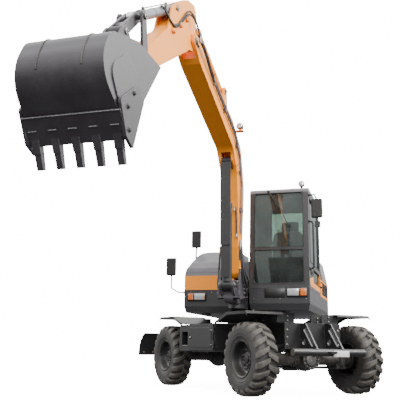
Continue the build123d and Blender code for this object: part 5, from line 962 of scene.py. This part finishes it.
for name, foot, eye, outer, reach in (("arm", arm_cyl_foot, (3.886, 4.456), 0.058, 1.18),
                                      ("bucket", bucket_cyl_foot, bucket_cyl_eye, 0.05, 1.03)):
    foot, eye = (Vector((x, 0, z)) for x, z in (foot, eye))
    run = (eye - foot).normalized()
    aside = Vector((-run.z, 0, run.x))
    mouth = foot + run * reach
    made = bmesh.new()
    peg(made, mouth - run * 0.07, run, 0.065, outer + 0.0095, 48, 0.003)
    for i in range(10):
        a = tau * i / 10
        spoke = aside * cos(a) + LEFT * sin(a)
        bolts(made, [mouth - run * 0.004 + spoke * (outer - 0.01)], run, 0.005)
    for share in (0.14, 0.84):
        port = foot + run * reach * share
        peg(made, port + aside * (outer - 0.006), aside, 0.028, 0.019, 24, 0.003)
        peg(made, port + aside * (outer + 0.018), aside, 0.012, 0.014, 6, 0.001)
    peg(made, foot + run * reach * 0.17 + aside * (outer + 0.014), run, reach * 0.66, 0.007, 16)
    for share in (0.35, 0.62):
        peg(made, foot + run * (reach * share - 0.01), run, 0.02, outer + 0.003, 48, 0.001)
    settle(made, name + "_cylinder_fittings", name + "_cyl_barrel", pin_steel)
pin_ends("bucket_linkage_pins", "rocker", (bucket_cyl_eye, 0.133, 0.03, None))

# Arm: the same welded box, slimmer towards the bucket, with its pins. The bucket cylinder's hoses
# run from the arm's pivot through clips on its left side.
pin_ends("arm_pins", "arm", (bucket_cyl_foot, 0.08, 0.036, (0.045, -0.035)), ((5.42, 3.08), 0.125, 0.032, None))
side_welds("arm_welds", "arm",
           (0.078, 0.004, ((4.1, 3.86, 4.52, 3.6), (4.66, 3.5, 5.4, 2.998), (4.86, 3.722, 5.34, 3.292),
                           (4.2, 4.44, 4.58, 4.19))))
arm_clips = bmesh.new()
for x, z in ((4.18, 4.2), (4.4, 4.02), (4.62, 3.84)):
    slab(arm_clips, (x - 0.03, 0.078, z - 0.02), (x + 0.03, 0.108, z + 0.02), 0.004)
    bolts(arm_clips, [(x, 0.108, z)], LEFT, 0.007)
settle(arm_clips, "arm_hose_clips", "arm", orange_paint)
hoses("arm_hoses", "arm",
      [((3.93, 0.17, 4.072 - 0.024 * i), (3.965, 0.17, 4.15), (4.02, 0.15, 4.26 - 0.02 * i),
        (4.09, 0.12, 4.33 - 0.03 * i), (4.16, 0.096, 4.325 - 0.04 * i), (4.26, 0.096, 4.22 - 0.04 * i),
        (4.42, 0.094, 4.04 - 0.03 * i), (4.6, 0.094, 3.89 - 0.02 * i), (4.78, 0.09, 3.9 + 0.02 * i),
        (4.86, 0.07, 3.98 + 0.02 * i), (4.84 - 0.12 * i, 0.035, 4.01 + 0.07 * i)) for i in range(2)],
      0.0095, ferrule=0.04)

# Bucket and its linkage: rolled plate in dark paint, worn to bare steel at the cutting edge, the
# teeth and the side cutters, with weld beads and bolted cutters.
bucket_pivot, link_foot = (5.6, 3.0), (5.8, 3.23)
origin = Vector((bucket_pivot[0], 0.0, bucket_pivot[1]))
bucket_black = weathered(
    "bucket_black", (0.024, 0.02, 0.023), 0.46, coat=0.15, dust=0.22, soil=(0.105, 0.1, 0.112), patch=4.5,
    grain=70.0, bump=0.1, lying_soil=0.75, rub=1.0, bare=(0.22, 0.21, 0.22), edge=0.006)
bead_steel = weathered(
    "weld_bead", (0.2, 0.2, 0.21), 0.5, metal=0.5, dust=0.4, soil=(0.12, 0.11, 0.11), patch=14.0,
    grain=120.0, bump=0.16, edge=0.002)
dress(bucket_black, "bucket", "link", "rocker")
pin_ends("bucket_pins", "bucket", (bucket_pivot, 0.091, 0.03, None), (link_foot, 0.091, 0.029, None))
beads, seams, cutter_bolts = bmesh.new(), bmesh.new(), bmesh.new()
wrap = [(0.56, -0.073), (0.924, -0.1765)]
for centre_x, centre_z, radius, first, last in ((0.8748, -0.3516, 0.1815, 74, 27), (0.8376, -0.4562, 0.2615, 27, -6)):
    for step in range(9):
        angle = radians(first + (last - first) * step / 8)
        wrap.append((centre_x + radius * cos(angle), centre_z + radius * sin(angle)))
for y in (-0.175, 0.175):
    for (x0, z0), (x1, z1) in zip(wrap, wrap[1:]):
        round_bar(seams, origin + Vector((x0, y, z0)), origin + Vector((x1, y, z1)), 0.0065, 10)
back, lip = Vector((0.88, 0.0, -0.765)), Vector((0.76, 0.0, -0.905))
down = (lip - back).normalized()
seat = origin + back + 0.023 * Vector((-down.z, 0.0, down.x))
weld(beads, seat - 0.02 * down - 0.385 * LEFT, seat - 0.02 * down + 0.385 * LEFT, 0.006)
for i in range(5):
    spot = seat + 0.085 * down + (-0.325 + 0.1625 * i) * LEFT
    weld(beads, spot - 0.035 * LEFT, spot + 0.035 * LEFT, 0.007)
settle(seams, "bucket_seams", "bucket", cast_black)
settle(beads, "bucket_welds", "bucket", bead_steel)
for side in (-1, 1):
    bolts(cutter_bolts, [origin + Vector((x, side * 0.404, z)) for x, z in (
        (0.7, -0.56), (0.8, -0.7), (0.76, -0.86))], side * LEFT, 0.016)
settle(cutter_bolts, "cutter_bolts", "bucket", cast_black)
